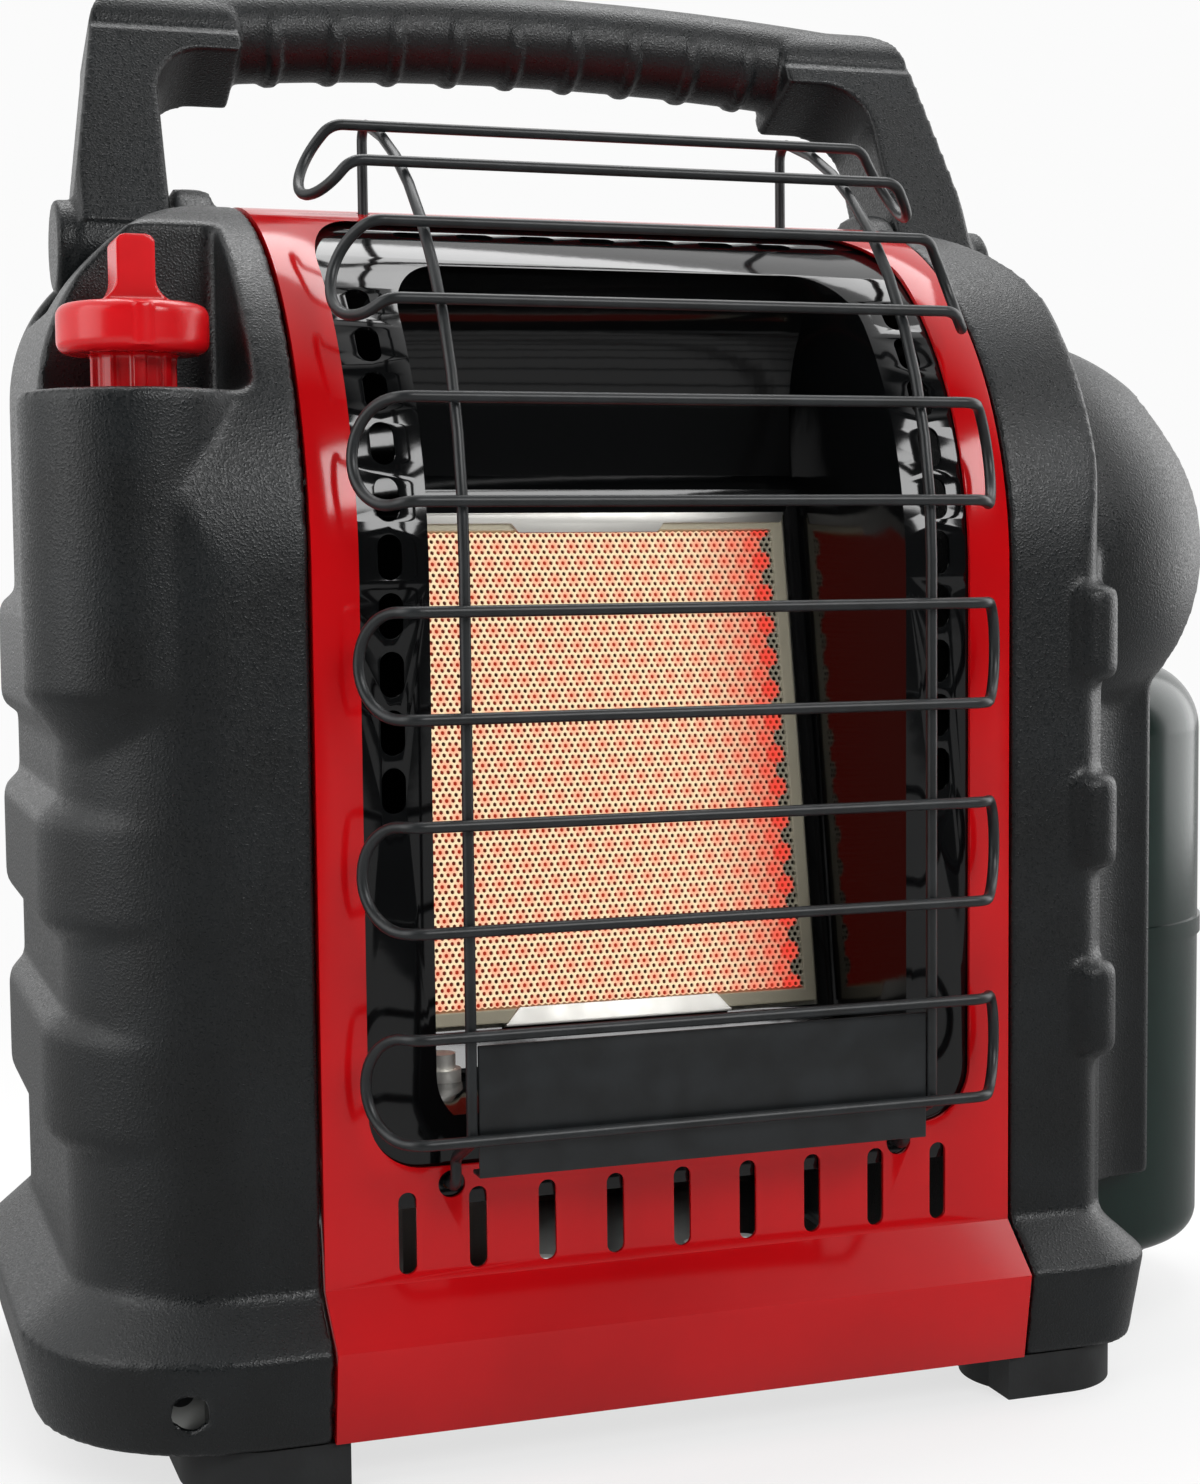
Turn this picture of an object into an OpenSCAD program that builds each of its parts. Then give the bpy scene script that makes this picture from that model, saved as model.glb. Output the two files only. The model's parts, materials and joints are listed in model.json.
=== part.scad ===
// Portable radiant heater that burns gas from a one-pound steel cylinder.
// X runs across the heater, Y from the glowing front to the back, Z up from the floor.
// The origin is on the floor, midway between the four feet.

/* [Housing] */
// Width of the sheet-metal panel between the two side covers
panel_w = 184; // [180:1:188]
// Height of the roof above the floor
roof_z = 316; // [312:1:318]
// Radius of the round shoulder from the front face to the roof
arch_r = 100; // [98:1:102]
// Radius of the round shoulder from the roof to the back face
rear_r = 58; // [54:1:60]
// Depth of the housing above its flared foot, front face to back face
body_d = 183; // [181:1:185]
// Reach of the left cover from the middle of the heater
left_w = 148; // [146:1:150]
// Reach of the right cover's ridge from the middle of the heater
ridge_w = 121; // [119:1:123]
// Wall of the moulded side covers
wall = 2.5; // [2:0.1:3]
// Thickness of the sheet metal
sheet = 1.2; // [1:0.1:1.5]

/* [Window and burner] */
// Width of the window in the front panel
window_w = 161; // [158:1:163]
// Width of the mouth of the burner chamber
mouth_w = 126; // [124:1:128]
// Width of the ceramic burner tile
tile_w = 116; // [112:1:117]
// Height of the ceramic burner tile along its own face
tile_h = 136; // [130:1:138]
// Angle at which the tile leans back
tile_lean = 10; // [9:0.5:11]

/* [Guard] */
// Diameter of the guard wire
wire_d = 2.8; // [2.6:0.1:3]
// Distance between two neighbouring cross rods
rod_pitch = 24.9; // [24.5:0.1:25.1]
// Distance between the two uprights
upright_gap = 120; // [118:1:122]
// Angle by which the ends of the loops are bent back
loop_tilt = 55; // [50:1:56]

/* [Handle] */
// Angle at which the handle leans back at rest
handle_lean = 26; // [24:1:27]
// Diameter of the pivot pins
pin_d = 8; // [7:0.5:9]

/* [Knob] */
// Diameter of the knob's disc
knob_d = 36.4; // [35.4:0.5:37.4]
// Width of the knob's finger bar
bar_w = 9.2; // [8.5:0.1:10]

/* [Gas cylinder] */
// Diameter of the cylinder
tank_d = 98; // [96:1:99]
// Height of the cylinder without its neck
tank_h = 176; // [170:1:178]

/* [Hidden] */
$fn = 64;

// Housing levels and planes
front_y = -85;
back_y = front_y + body_d;
seam_x = panel_w / 2;
seam_gap = 0.2;
bottom_z = 11.5;
fold_low_z = 34.4;
fold_high_z = 46;
flare = 13.2;
flare_y = front_y - flare;
apron_y = front_y - 9.3;
arch_y = front_y + arch_r;
arch_z = roof_z - arch_r;
rear_y = back_y - rear_r;
rear_z = roof_z - rear_r;
split_y = rear_y - 2;
flange = 8;

// Side covers
left_corner_r = 38;
left_top_r = 55;
ridge_r = 8;
ridge_top_r = 30;
left_back_r = 55;
right_back_r = 30;
bump_r = 5;
side_bump_h = 32;
side_bump_z = [79, 131, 181];
pad_h = 25;
pad_z = [88, 138, 188];
side_bump_out = 5;

// Bay for the gas cylinder, and the dome over its regulator
tank_x = 148;
tank_y = 5;
bay_x = tank_x - tank_d / 2 - 3;
bay_half = tank_d / 2 + 3;
bay_top = 266;
bay_corner = 16;
dome_x = 123;
dome_y = -10;
dome_z = 221.5;
dome_r = 62.6;
dome_len = 55;
wing_w = 156;
wing_fillet = 27;
swivel_z = 240;
trunnion_r = 6;

// Knob, its recess and the tower below it
knob_x = -128;
knob_y = -55;
sill_z = 262;
disc_z = 271;
disc_h = 12;
knob_top_z = 299;
bar_half = 8;
pointer_r = 4;
recess_x = -103;
recess_back_y = -27;
tower_r = 28;
tower_foot_z = 162;
tower_full_z = 190;
skirt_r = 11;

// Handle
pivot_y = 24;
pivot_z = 306;
pocket_z = 288;
pocket_y = 7;
pocket_back_y = 62;
ear_in = 96;
ear_out = 106.2;
ear_r = 16.5;
arm_in = 107.2;
arm_out = 131;
arm_flank = 136;
arm_half_t = 14;
arm_corner_x = 103.5;
arm_corner_z = 62;
arm_corner_r = 21;
arm_fillet = 14;
grip_r = 13.1;
grip_top = 89.3;
grip_arc_r = 830;
grip_angle = 7.4;
rib_pitch = 18.2;
rib_w = 3.2;
rib_drop = 1.8;
boss_out = 137.5;
boss_r = 12.5;
run_fit = 0.05;

// Window, reflector and burner
window_bottom_z = 74;
window_top_z = 309.5;
window_corner = 14;
slot_w = 4.6;
slot_len = 20.3;
slot_z = 58.2;
slot_pitch = 17.8;
foot_hole_z = 69.5;

skin_in = 1.6;
skin = 1;
mouth_bottom_z = 84;
mouth_top_z = 296;
ceiling_r = 34;
ceiling_y = -42;
ceiling_z = mouth_top_z - ceiling_r;
tile_t = 12;
tile_y = -37;
tile_z = 98.5;
plenum_d = 38;
mix_y = -18;
mix_z = 62;
pilot_x = -52;
pilot_y = -47;

// Guard path: straight up, then round the shoulder
guard_y = -104;
guard_r = arch_y - guard_y;
guard_bend_z = 220;
rod_z0 = 84.8;
guard_end = 74.5;
tail_len = 8;
tail_z = 309;
hook_y = arch_y - guard_r * cos(guard_end) + tail_len * sin(guard_end);
loop_half = rod_pitch / 2;
loop_reach = 84.4;
loop_flat = 70.6;
loop_bend = 6;
loop_arc = loop_bend * loop_tilt * PI / 180;
loop_straight = loop_flat + loop_arc
    + (loop_reach - wire_d / 2 - loop_flat - loop_bend * sin(loop_tilt)) / cos(loop_tilt) - loop_half;
loop_sides = 10;

// Screws and feet
left_screw_x = 126;
right_screw_x = 112;
corner_z = 23;
left_tab_y = -76;
right_tab_y = 91;
panel_screw_x = 70;
panel_screw_z = 20;
lip_y = apron_y + 3;
foot_in = 88;
foot_out = 126;
foot_front = 93;
foot_len = 38;
foot_x = (foot_in + foot_out) / 2;
foot_y = foot_front - foot_len / 2;

// ---- Drawing helpers -------------------------------------------------------

// Profile drawn in (y, z), extruded across the heater
module across(x0, x1) {
    translate([x0, 0, 0]) rotate([90, 0, 90]) linear_extrude(x1 - x0) children();
}

// Profile drawn in (x, z), extruded from front to back
module endwise(y0, y1) {
    translate([0, y1, 0]) rotate([90, 0, 0]) linear_extrude(y1 - y0) children();
}

// Profile drawn in (x, y), extruded upwards
module upward(z0, z1) {
    translate([0, 0, z0]) linear_extrude(z1 - z0) children();
}

module block(low, high) {
    translate(low) cube(high - low);
}

// Rod along X, between two x values
module rod_x(x0, x1, y, z, r) {
    translate([x0, y, z]) rotate([0, 90, 0]) cylinder(h = x1 - x0, r = r);
}

// Rod along Y, between two y values
module rod_y(y0, y1, x, z, r) {
    translate([x, y1, z]) rotate([90, 0, 0]) cylinder(h = y1 - y0, r = r);
}

// Rod along Z, between two z values
module rod_z(z0, z1, x, y, r) {
    translate([x, y, z0]) cylinder(h = z1 - z0, r = r);
}

// Straight rod between any two points
module rod(a, b, r) {
    v = b - a;
    translate(a) rotate([0, acos(v[2] / norm(v)), atan2(v[1], v[0])]) cylinder(h = norm(v), r = r);
}

// Angle between two unit directions
function turn(a, b) = acos(a * b);

// Arc of tube that takes direction a into direction b round the corner p
module elbow(p, a, b, r, bend) {
    n = cross(a, b) / norm(cross(a, b));
    out = cross(a, n);
    c = p - a * bend * tan(turn(a, b) / 2) - out * bend;
    multmatrix([
        [out[0], a[0], n[0], c[0]], [out[1], a[1], n[1], c[1]],
        [out[2], a[2], n[2], c[2]], [0, 0, 0, 1]
    ]) rotate_extrude(angle = turn(a, b)) translate([bend, 0]) circle(r);
}

// Tube through a list of points, with a round bend at each inner one and a weld bead at each joint
module bent_tube(points, r, bend) {
    last = len(points) - 1;
    way = [for (i = [0 : last - 1]) (points[i + 1] - points[i]) / norm(points[i + 1] - points[i])];
    cut = [for (i = [0 : last]) i == 0 || i == last ? 0 : bend * tan(turn(way[i - 1], way[i]) / 2)];
    for (i = [0 : last - 1]) rod(points[i] + way[i] * cut[i], points[i + 1] - way[i] * cut[i + 1], r);
    for (i = [1 : last - 1]) {
        elbow(points[i], way[i - 1], way[i], r, bend);
        translate(points[i] - way[i - 1] * cut[i]) sphere(r * 1.04);
        translate(points[i] + way[i] * cut[i]) sphere(r * 1.04);
    }
}

// Tube along straight runs, with a soldered ball at each corner
module piped(points, r) {
    for (i = [0 : len(points) - 2]) rod(points[i], points[i + 1], r);
    for (i = [1 : len(points) - 2]) translate(points[i]) sphere(r * 1.1);
}

// Rounded rectangle between two corners
module round_rect(low, high, r) {
    translate([low[0] + r, low[1]]) square([high[0] - low[0] - 2 * r, high[1] - low[1]]);
    translate([low[0], low[1] + r]) square([high[0] - low[0], high[1] - low[1] - 2 * r]);
    for (x = [low[0] + r, high[0] - r], y = [low[1] + r, high[1] - r]) translate([x, y]) circle(r);
}

// ---- Housing sections ------------------------------------------------------

// Side view of the housing above its flared foot, drawn t inside the skin
module body_section(t) {
    translate([front_y + t, fold_high_z]) square([body_d - 2 * t, arch_z - fold_high_z]);
    intersection() {
        translate([arch_y, arch_z]) circle(arch_r - t);
        translate([front_y, arch_z]) square([arch_r, arch_r]);
    }
    translate([arch_y, arch_z]) square([rear_y - arch_y, arch_r - t]);
    translate([rear_y, arch_z]) square([rear_r - t, rear_z - arch_z]);
    intersection() {
        translate([rear_y, rear_z]) circle(rear_r - t);
        translate([rear_y, rear_z]) square([rear_r, rear_r]);
    }
}

// Side view of the whole housing, with the flared apron at the front
module panel_section(t) {
    low = bottom_z - (t > 0 ? 5 : 0);
    body_section(t);
    polygon([
        [front_y + t, fold_high_z], [flare_y + t, fold_low_z], [apron_y + t, low],
        [back_y - t, low], [back_y - t, fold_high_z]
    ]);
}

module panel_skin(t0, t1) {
    difference() {
        panel_section(t0);
        panel_section(t1);
    }
}

// Plan of a cover from inside the seam to its outer side, drawn t inside the skin
module cover_plan(w, r_front, r_back, t) {
    difference() {
        translate([0, front_y + t]) square([w - t, body_d - 2 * t]);
        translate([w - r_front, front_y - 1]) square([r_front + 1, r_front + 1]);
        translate([w - r_back, back_y - r_back]) square([r_back + 1, r_back + 1]);
    }
    translate([w - r_front, front_y + r_front]) circle(r_front - t);
    translate([w - r_back, back_y - r_back]) circle(r_back - t);
}

// Front view of a cover, with its round top corner
module cover_front(w, r_top, t) {
    translate([0, fold_high_z - 1]) square([w - t, roof_z - r_top - fold_high_z + 1]);
    translate([0, fold_high_z - 1]) square([w - r_top, roof_z - fold_high_z + 1]);
    translate([w - r_top, roof_z - r_top]) circle(r_top - t);
}

// How far a cover starts from the middle: at the seam outside, past it inside so that it stays open
function seam_start(t) = t > 0 ? seam_x - 4 : seam_x + seam_gap;

// One side cover's body as a solid, drawn t inside its skin, on the right-hand side
module cover_body(w, r_front, r_back, r_top, t) {
    intersection() {
        across(seam_start(t), w - t) body_section(t);
        endwise(front_y, back_y) cover_front(w, r_top, t);
        upward(fold_high_z, roof_z) cover_plan(w, r_front, r_back, t);
    }
}

// Half profile of the flared foot round a corner of radius r, drawn t inside the skin
module flare_profile(r, t) {
    low = bottom_z - (t > 0 ? 5 : 0);
    tuck = flare_y - apron_y;
    polygon([
        [0, fold_high_z + 0.5], [r - t, fold_high_z + 0.5], [r - t, fold_high_z],
        [r + flare - t, fold_low_z], [r + flare + tuck - t, bottom_z], [r + flare + tuck - t, low], [0, low]
    ]);
}

// The flared foot of a side cover, as a solid drawn t inside its skin
module cover_base(w, r, r_back, t) {
    x0 = seam_start(t);
    y0 = front_y + r;
    y1 = back_y - r_back;
    intersection() {
        union() {
            translate([w - r, y0, 0]) rotate_extrude() flare_profile(r, t);
            translate([w - r_back, y1, 0]) rotate_extrude() flare_profile(r_back, t);
            endwise(y0, y1) translate([w - r, 0]) flare_profile(r, t);
            across(x0, w - r) translate([y0, 0]) mirror([1, 0]) flare_profile(r, t);
            block([x0, y0 - 1, bottom_z - (t > 0 ? 5 : 0)], [w - r + 1, y1 + 1, fold_high_z + 0.5]);
            block([x0, y1, bottom_z - (t > 0 ? 5 : 0)], [w - r_back, back_y, fold_high_z + 0.5]);
        }
        block([x0, -200, 0], [w + 40, back_y - t, 60]);
    }
}

// ---- Side covers -----------------------------------------------------------

// Bumper band round the left cover: flush at the front, proud at the side
module side_bump(z) {
    r = left_corner_r + side_bump_out;
    cx = left_w - left_corner_r;
    cy = front_y + r + 0.4;
    back = back_y - left_back_r - 6;
    intersection() {
        union() {
            translate([cx, cy, z]) rotate_extrude() bump_edge(r);
            translate([cx, back, z]) rotate_extrude() bump_edge(r);
            endwise(cy, back) translate([cx, z]) bump_edge(r);
        }
        block([cx - 8, front_y + 0.3, 0], [200, back_y - 0.5, roof_z]);
    }
}

// Half profile of a band with round edges, from the axis out to r
module bump_edge(r) {
    square([r - bump_r, side_bump_h]);
    translate([0, bump_r]) square([r, side_bump_h - 2 * bump_r]);
    for (z = [bump_r, side_bump_h - bump_r]) translate([r - bump_r, z]) circle(bump_r);
}

// Round pod below the knob, which narrows to a point lower down
module tower(t) {
    rod_z(tower_full_z, sill_z - t, -knob_x, knob_y, tower_r - t);
    translate([-knob_x, knob_y, tower_foot_z + t])
        cylinder(h = tower_full_z - tower_foot_z - t, r1 = 9, r2 = tower_r - t);
}

// Space cut out of the left cover for the knob, grown by t
module knob_recess(t) {
    block([-recess_x - t, front_y - 30, sill_z - t], [200, recess_back_y + t, roof_z + 20]);
}

// Space cut out of a cover's shoulder for the handle's arm, grown by t
module arm_pocket(t) {
    block([ear_out + 0.4 - t, pocket_y - t, pocket_z - t], [200, pocket_back_y + t, roof_z + 30]);
}

// Ear that carries the handle's pin, on the right-hand side
module handle_ear() {
    rod_x(ear_in, ear_out, pivot_y, pivot_z, ear_r);
    block([ear_in, pivot_y - ear_r, pivot_z - 22], [ear_out, pivot_y + ear_r, pivot_z]);
}

// Hole in the left cover's front corner for the screw that holds it to the base pan
module left_screw_hole() {
    rod_y(-120, -60, left_screw_x, corner_z, 4);
}

// The same in the back wall of the right cover
module right_screw_hole() {
    rod_y(90, 110, right_screw_x, corner_z, 4);
}

module left_cover() {
    color("#26292b") mirror([1, 0, 0]) difference() {
        union() {
            difference() {
                union() {
                    cover_body(left_w, left_corner_r, left_back_r, left_top_r, 0);
                    cover_base(left_w, left_corner_r, left_back_r, 0);
                    tower(0);
                    for (z = side_bump_z) side_bump(z);
                }
                difference() {
                    union() {
                        cover_body(left_w, left_corner_r, left_back_r, left_top_r, wall);
                        cover_base(left_w, left_corner_r, left_back_r, wall);
                        tower(wall);
                    }
                    knob_recess(wall);
                    arm_pocket(wall);
                }
                knob_recess(0);
                arm_pocket(0);
            }
            handle_ear();
        }
        rod_x(ear_in - 1, ear_out + 1, pivot_y, pivot_z, pin_d / 2 + run_fit);
        rod_z(sill_z - 10, sill_z + 10, -knob_x, knob_y, skirt_r + 1);
        left_screw_hole();
    }
}

// Arch-topped bay that holds the gas cylinder, grown by t
module tank_bay(t) {
    low = [tank_y - bay_half - t, -10];
    high = [tank_y + bay_half + t, bay_top + t];
    across(bay_x - t, 230) round_rect(low, high, bay_corner);
}

// Dome over the regulator: a ball drawn out towards the back
module dome(t) {
    intersection() {
        union() {
            translate([dome_x, dome_y, dome_z]) sphere(dome_r - t);
            rod_y(dome_y, dome_y + dome_len, dome_x, dome_z, dome_r - t);
            translate([dome_x, dome_y + dome_len, dome_z]) sphere(dome_r - t);
        }
        across(seam_x + seam_gap, 220) body_section(t);
    }
}

// Web that runs out from the ridge to hide the cylinder from the front
module wing() {
    upward(fold_high_z - 2, dome_z) difference() {
        union() {
            translate([ridge_w - 6, -78]) square([wing_w - 2 - ridge_w + 6, 78 - 47]);
            translate([wing_w - 2, -49]) circle(2);
        }
        translate([wing_w - 5, -78]) circle(wing_fillet);
        translate([wing_w - 5, -78]) square([20, wing_fillet]);
    }
}

// Lower rear part of the right cover, behind the bay
module rear_buttress(t) {
    intersection() {
        cover_body(left_w, left_corner_r, right_back_r, left_top_r, t);
        block([0, tank_y + bay_half - 4, 0], [200, 120, dome_z]);
    }
}

// Short bumper pad on the ridge
module ridge_pad(z) {
    translate([ridge_w - 4, front_y + 4, z]) rotate_extrude() {
        square([5, pad_h]);
        translate([0, 3]) square([ridge_r, pad_h - 6]);
        for (h = [3, pad_h - 3]) translate([5, h]) circle(3);
    }
}

module right_cover() {
    color("#26292b") difference() {
        union() {
            difference() {
                union() {
                    cover_body(ridge_w, ridge_r, right_back_r, ridge_top_r, 0);
                    cover_base(ridge_w, ridge_r, right_back_r, 0);
                    dome(0);
                    wing();
                    rear_buttress(0);
                    for (z = pad_z) ridge_pad(z);
                }
                difference() {
                    union() {
                        cover_body(ridge_w, ridge_r, right_back_r, ridge_top_r, wall);
                        cover_base(ridge_w, ridge_r, right_back_r, wall);
                        dome(wall);
                        rear_buttress(wall);
                    }
                    tank_bay(wall);
                    arm_pocket(wall);
                }
                tank_bay(0);
                arm_pocket(0);
            }
            handle_ear();
        }
        rod_x(ear_in - 1, ear_out + 1, pivot_y, pivot_z, pin_d / 2 + run_fit);
        rod_y(tank_y - bay_half - 5, tank_y + bay_half + 5, tank_x, swivel_z, trunnion_r + run_fit);
        right_screw_hole();
    }
}

// ---- Sheet-metal housing ---------------------------------------------------

// Opening of the window, from well in front of the panel back to its top edge
module window_cut() {
    half = window_w / 2;
    endwise(-130, arch_y) round_rect([-half, window_bottom_z], [half, window_top_z], window_corner);
}

module panel_slot(x) {
    endwise(-130, front_y + 10) {
        translate([x - slot_w / 2, slot_z - slot_len / 2 + slot_w / 2]) square([slot_w, slot_len - slot_w]);
        for (s = [-1, 1]) translate([x, slot_z + s * (slot_len - slot_w) / 2]) circle(slot_w / 2);
    }
}

module guard_foot_holes() {
    for (s = [-1, 1]) {
        rod_y(-130, front_y + 10, s * upright_gap / 2, foot_hole_z, wire_d / 2 + 2);
        rod_z(roof_z - 20, roof_z + 2, s * upright_gap / 2, hook_y, wire_d / 2 + 0.4);
    }
}

module front_panel() {
    edge = seam_x - seam_gap;
    color("#c1121f") difference() {
        union() {
            across(-edge, edge) intersection() {
                panel_skin(0, sheet);
                translate([-150, 0]) square([150 + split_y, 400]);
            }
            for (x = [-edge, edge - sheet]) across(x, x + sheet) intersection() {
                panel_skin(0, flange);
                translate([-150, 0]) square([150 + split_y, 400]);
            }
        }
        window_cut();
        for (i = [-4 : 4]) panel_slot(i * slot_pitch);
        guard_foot_holes();
    }
}

// Screws behind the base pan's front lip, which draw it up to the panel
module panel_screws() {
    color("#b7b9bb") for (x = [-panel_screw_x, panel_screw_x]) {
        rod_y(lip_y + sheet, lip_y + sheet + 2, x, panel_screw_z, 3);
        rod_y(lip_y - 2.8, lip_y + sheet + 1, x, panel_screw_z, 1.5);
    }
}

// Louvres in the back: rows of lying slots for warm air at the top and fresh air below
module louvre_rows() {
    for (z = [230, 244, 258], x = [-60, -20, 20, 60]) louvre(x, z);
    for (z = [40, 52, 64], x = [-60, -20, 20, 60]) louvre(x, z);
}

module louvre(x, z) {
    endwise(back_y - 20, back_y + 5) round_rect([x - 14, z - 2], [x + 14, z + 2], 1.9);
}

module rear_cover() {
    edge = seam_x - seam_gap;
    color("#1f2122") difference() {
        union() {
            across(-edge, edge) intersection() {
                panel_skin(0, sheet);
                translate([split_y + 0.2, 0]) square([200, 400]);
            }
            for (x = [-edge, edge - sheet]) across(x, x + sheet) intersection() {
                panel_skin(0, flange);
                translate([split_y + 0.2, 0]) square([200, 400]);
            }
        }
        louvre_rows();
    }
}

// Floor of the heater: a tray with wings that reach under the covers, clear of the cylinder
module base_pan() {
    z = bottom_z + 0.5;
    x = seam_x - 2;
    y1 = back_y - 1.6 - sheet;
    left = 132;
    right = 118;
    color("#8b8f92") difference() {
        union() {
            block([-x, lip_y, z], [x, y1, z + sheet]);
            block([-x, lip_y, z], [x, lip_y + sheet, z + 12]);
            block([-x, y1 - sheet, z], [x, y1, z + 12]);
            block([-left, left_tab_y, z], [1 - x, 64, z + sheet]);
            block([-left, left_tab_y, z], [12 - left, left_tab_y + sheet, corner_z + 6]);
            block([-right, 64, z], [1 - x, 86, z + sheet]);
            block([x - 1, left_tab_y, z], [right, -56, z + sheet]);
            block([x - 1, 64, z], [right, right_tab_y + sheet, z + sheet]);
            block([x + 12, right_tab_y, z], [right, right_tab_y + sheet, corner_z + 6]);
        }
        for (i = [-4 : 4], j = [-2 : 2]) rod_z(5, 20, i * 16, j * 16, 3.5);
        for (s = [-1, 1], y = [-foot_y, foot_y]) rod_z(5, 20, s * foot_x, y, 2.1);
        rod_y(left_tab_y - 2, left_tab_y + 4, -left_screw_x, corner_z, 1.7);
        rod_y(right_tab_y - 2, right_tab_y + 4, right_screw_x, corner_z, 1.7);
        for (s = [-1, 1]) rod_y(lip_y - 1, lip_y + 2 * sheet, s * panel_screw_x, panel_screw_z, 1.7);
    }
}

// Curved sheet under the roof that keeps the chamber's heat away from it
module heat_shield() {
    color("#a9adb0") across(-seam_x + 12, seam_x - 12) intersection() {
        difference() {
            body_section(11);
            body_section(11 + skin);
        }
        translate([-6, 250]) square([60, 100]);
    }
}

// ---- Burner chamber --------------------------------------------------------

// Side view of the chamber, drawn g outside its clear space
module chamber_section(g) {
    polygon([
        [-130, mouth_bottom_z - g], [-40, mouth_bottom_z + 4 - g], [tile_y + g, 96 - g],
        [-12 + g, 240], [-8 + g, 244], [-8 + g, ceiling_z], [ceiling_y, ceiling_z],
        [ceiling_y, mouth_top_z + g], [-130, mouth_top_z + g]
    ]);
    translate([ceiling_y, ceiling_z]) circle(ceiling_r + g);
}

// Place of the tile: its own z runs up its face, its own y into the burner
module on_tile() {
    translate([0, tile_y, tile_z]) rotate([-tile_lean, 0, 0]) children();
}

// Place on a path that runs up from the floor to z and on round a shoulder of radius r, s along it
module on_arch(s, r, z) {
    a = max(0, (s - z) / r) * 180 / PI;
    translate([0, arch_y, z]) rotate([-a, 0, 0]) translate([0, -r, min(0, s - z)]) children();
}

// Lying or standing oval hole, w across and h up, through the flange
module oval_hole(w, h) {
    r = min(w, h) / 2;
    endwise(-6, 6) for (x = [r - w / 2, w / 2 - r], z = [r - h / 2, h / 2 - r]) translate([x, z]) circle(r);
    endwise(-6, 6) square([max(w - 2 * r, 2 * r), max(h - 2 * r, 0.01)], center = true);
    endwise(-6, 6) square([max(w - 2 * r, 0.01), max(h - 2 * r, 2 * r)], center = true);
}

module reflector() {
    half = mouth_w / 2;
    outer = half + skin;
    slot_r = arch_r - skin_in;
    hood_slots = arch_z + slot_r * 1.148;
    color("#101112") difference() {
        union() {
            across(-seam_x + 4, seam_x - 4) intersection() {
                difference() {
                    body_section(skin_in);
                    body_section(skin_in + skin);
                }
                translate([-120, 64]) square([117 + hook_y, 260]);
            }
            intersection() {
                across(-outer, outer) intersection() {
                    chamber_section(skin);
                    body_section(skin_in);
                }
                endwise(-130, 60) round_rect([-outer, mouth_bottom_z - 3], [outer, mouth_top_z + skin], 15);
            }
        }
        intersection() {
            across(-half, half) chamber_section(0);
            endwise(-130, 60) round_rect([-half, mouth_bottom_z - 2], [half, mouth_top_z], 14);
        }
        on_tile() block([-tile_w / 2 - 1, -6, -1], [tile_w / 2 + 1, 8, tile_h + 1]);
        for (i = [0 : 9], x = [-72.5, 72.5]) translate([x, 0, 0])
            on_arch(166 + 14 * i, slot_r, arch_z) oval_hole(6, 11);
        for (i = [-3 : 3]) translate([17 * i, 0, 0])
            on_arch(hood_slots, slot_r, arch_z) oval_hole(10, 4.5);
        for (s = [-1, 1]) rod_y(-130, front_y + 10, s * upright_gap / 2, foot_hole_z, wire_d / 2 + 0.4);
        rod_z(70, 94, pilot_x, pilot_y, 7);
    }
}

module burner_tile() {
    color("#f2b48c") on_tile() block([-tile_w / 2, -1, 0], [tile_w / 2, tile_t - 1, tile_h]);
}

module tile_gasket() {
    a = tile_w / 2;
    color("#e6e1d3") on_tile() difference() {
        block([-a - 2.6, 1.9, -2.6], [a + 2.6, tile_t - 1, tile_h + 2.6]);
        block([-a - 0.1, 0, -0.1], [a + 0.1, tile_t + 1, tile_h + 0.1]);
    }
}

// Bright folded strips that grip the tile along its top and bottom edges, each with a deeper middle
module tile_clips() {
    a = tile_w / 2;
    color("#d8dadb") on_tile() {
        endwise(-2, -1.1) polygon([
            [-a, tile_h + 0.5], [a, tile_h + 0.5], [a - 1, tile_h - 2], [22, tile_h - 2],
            [20, tile_h - 4.5], [-20, tile_h - 4.5], [-22, tile_h - 2], [1 - a, tile_h - 2]
        ]);
        endwise(-2, -1.1) polygon([[-32, -0.5], [32, -0.5], [28, 4], [-28, 4]]);
        block([-a, -2, tile_h + 0.2], [a, 0.6, tile_h + 0.9]);
        block([-32, -2, -0.9], [32, 0.6, -0.2]);
    }
}

module burner_box() {
    a = tile_w / 2 + 2.8;
    color("#9a9da0") difference() {
        on_tile() difference() {
            block([-a - sheet, 1.9, -2.8 - sheet], [a + sheet, plenum_d, tile_h + 2.8 + sheet]);
            block([-a, 0, -2.8], [a, plenum_d - sheet, tile_h + 2.8]);
        }
        rod_z(mix_z, 97, 20, mix_y, 10.3);
    }
}

module venturi_tube() {
    color("#b9bcbe") difference() {
        union() {
            rod_x(-52, 20, mix_y, mix_z, 10);
            rod_z(mix_z, 92, 20, mix_y, 10);
            translate([20, mix_y, mix_z]) sphere(10.2);
            translate([-62, mix_y, mix_z]) rotate([0, 90, 0]) cylinder(h = 10.5, r1 = 13.5, r2 = 10);
        }
        rod_x(-63, 20, mix_y, mix_z, 9);
        rod_z(mix_z, 93, 20, mix_y, 9);
    }
}

module gas_orifice() {
    color("#c9a24a") {
        rod_x(-66, -57, mix_y, mix_z, 2.6);
        rod_x(-74, -66, mix_y, mix_z, 5.5);
    }
}

// ---- Wire guard ------------------------------------------------------------

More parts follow.
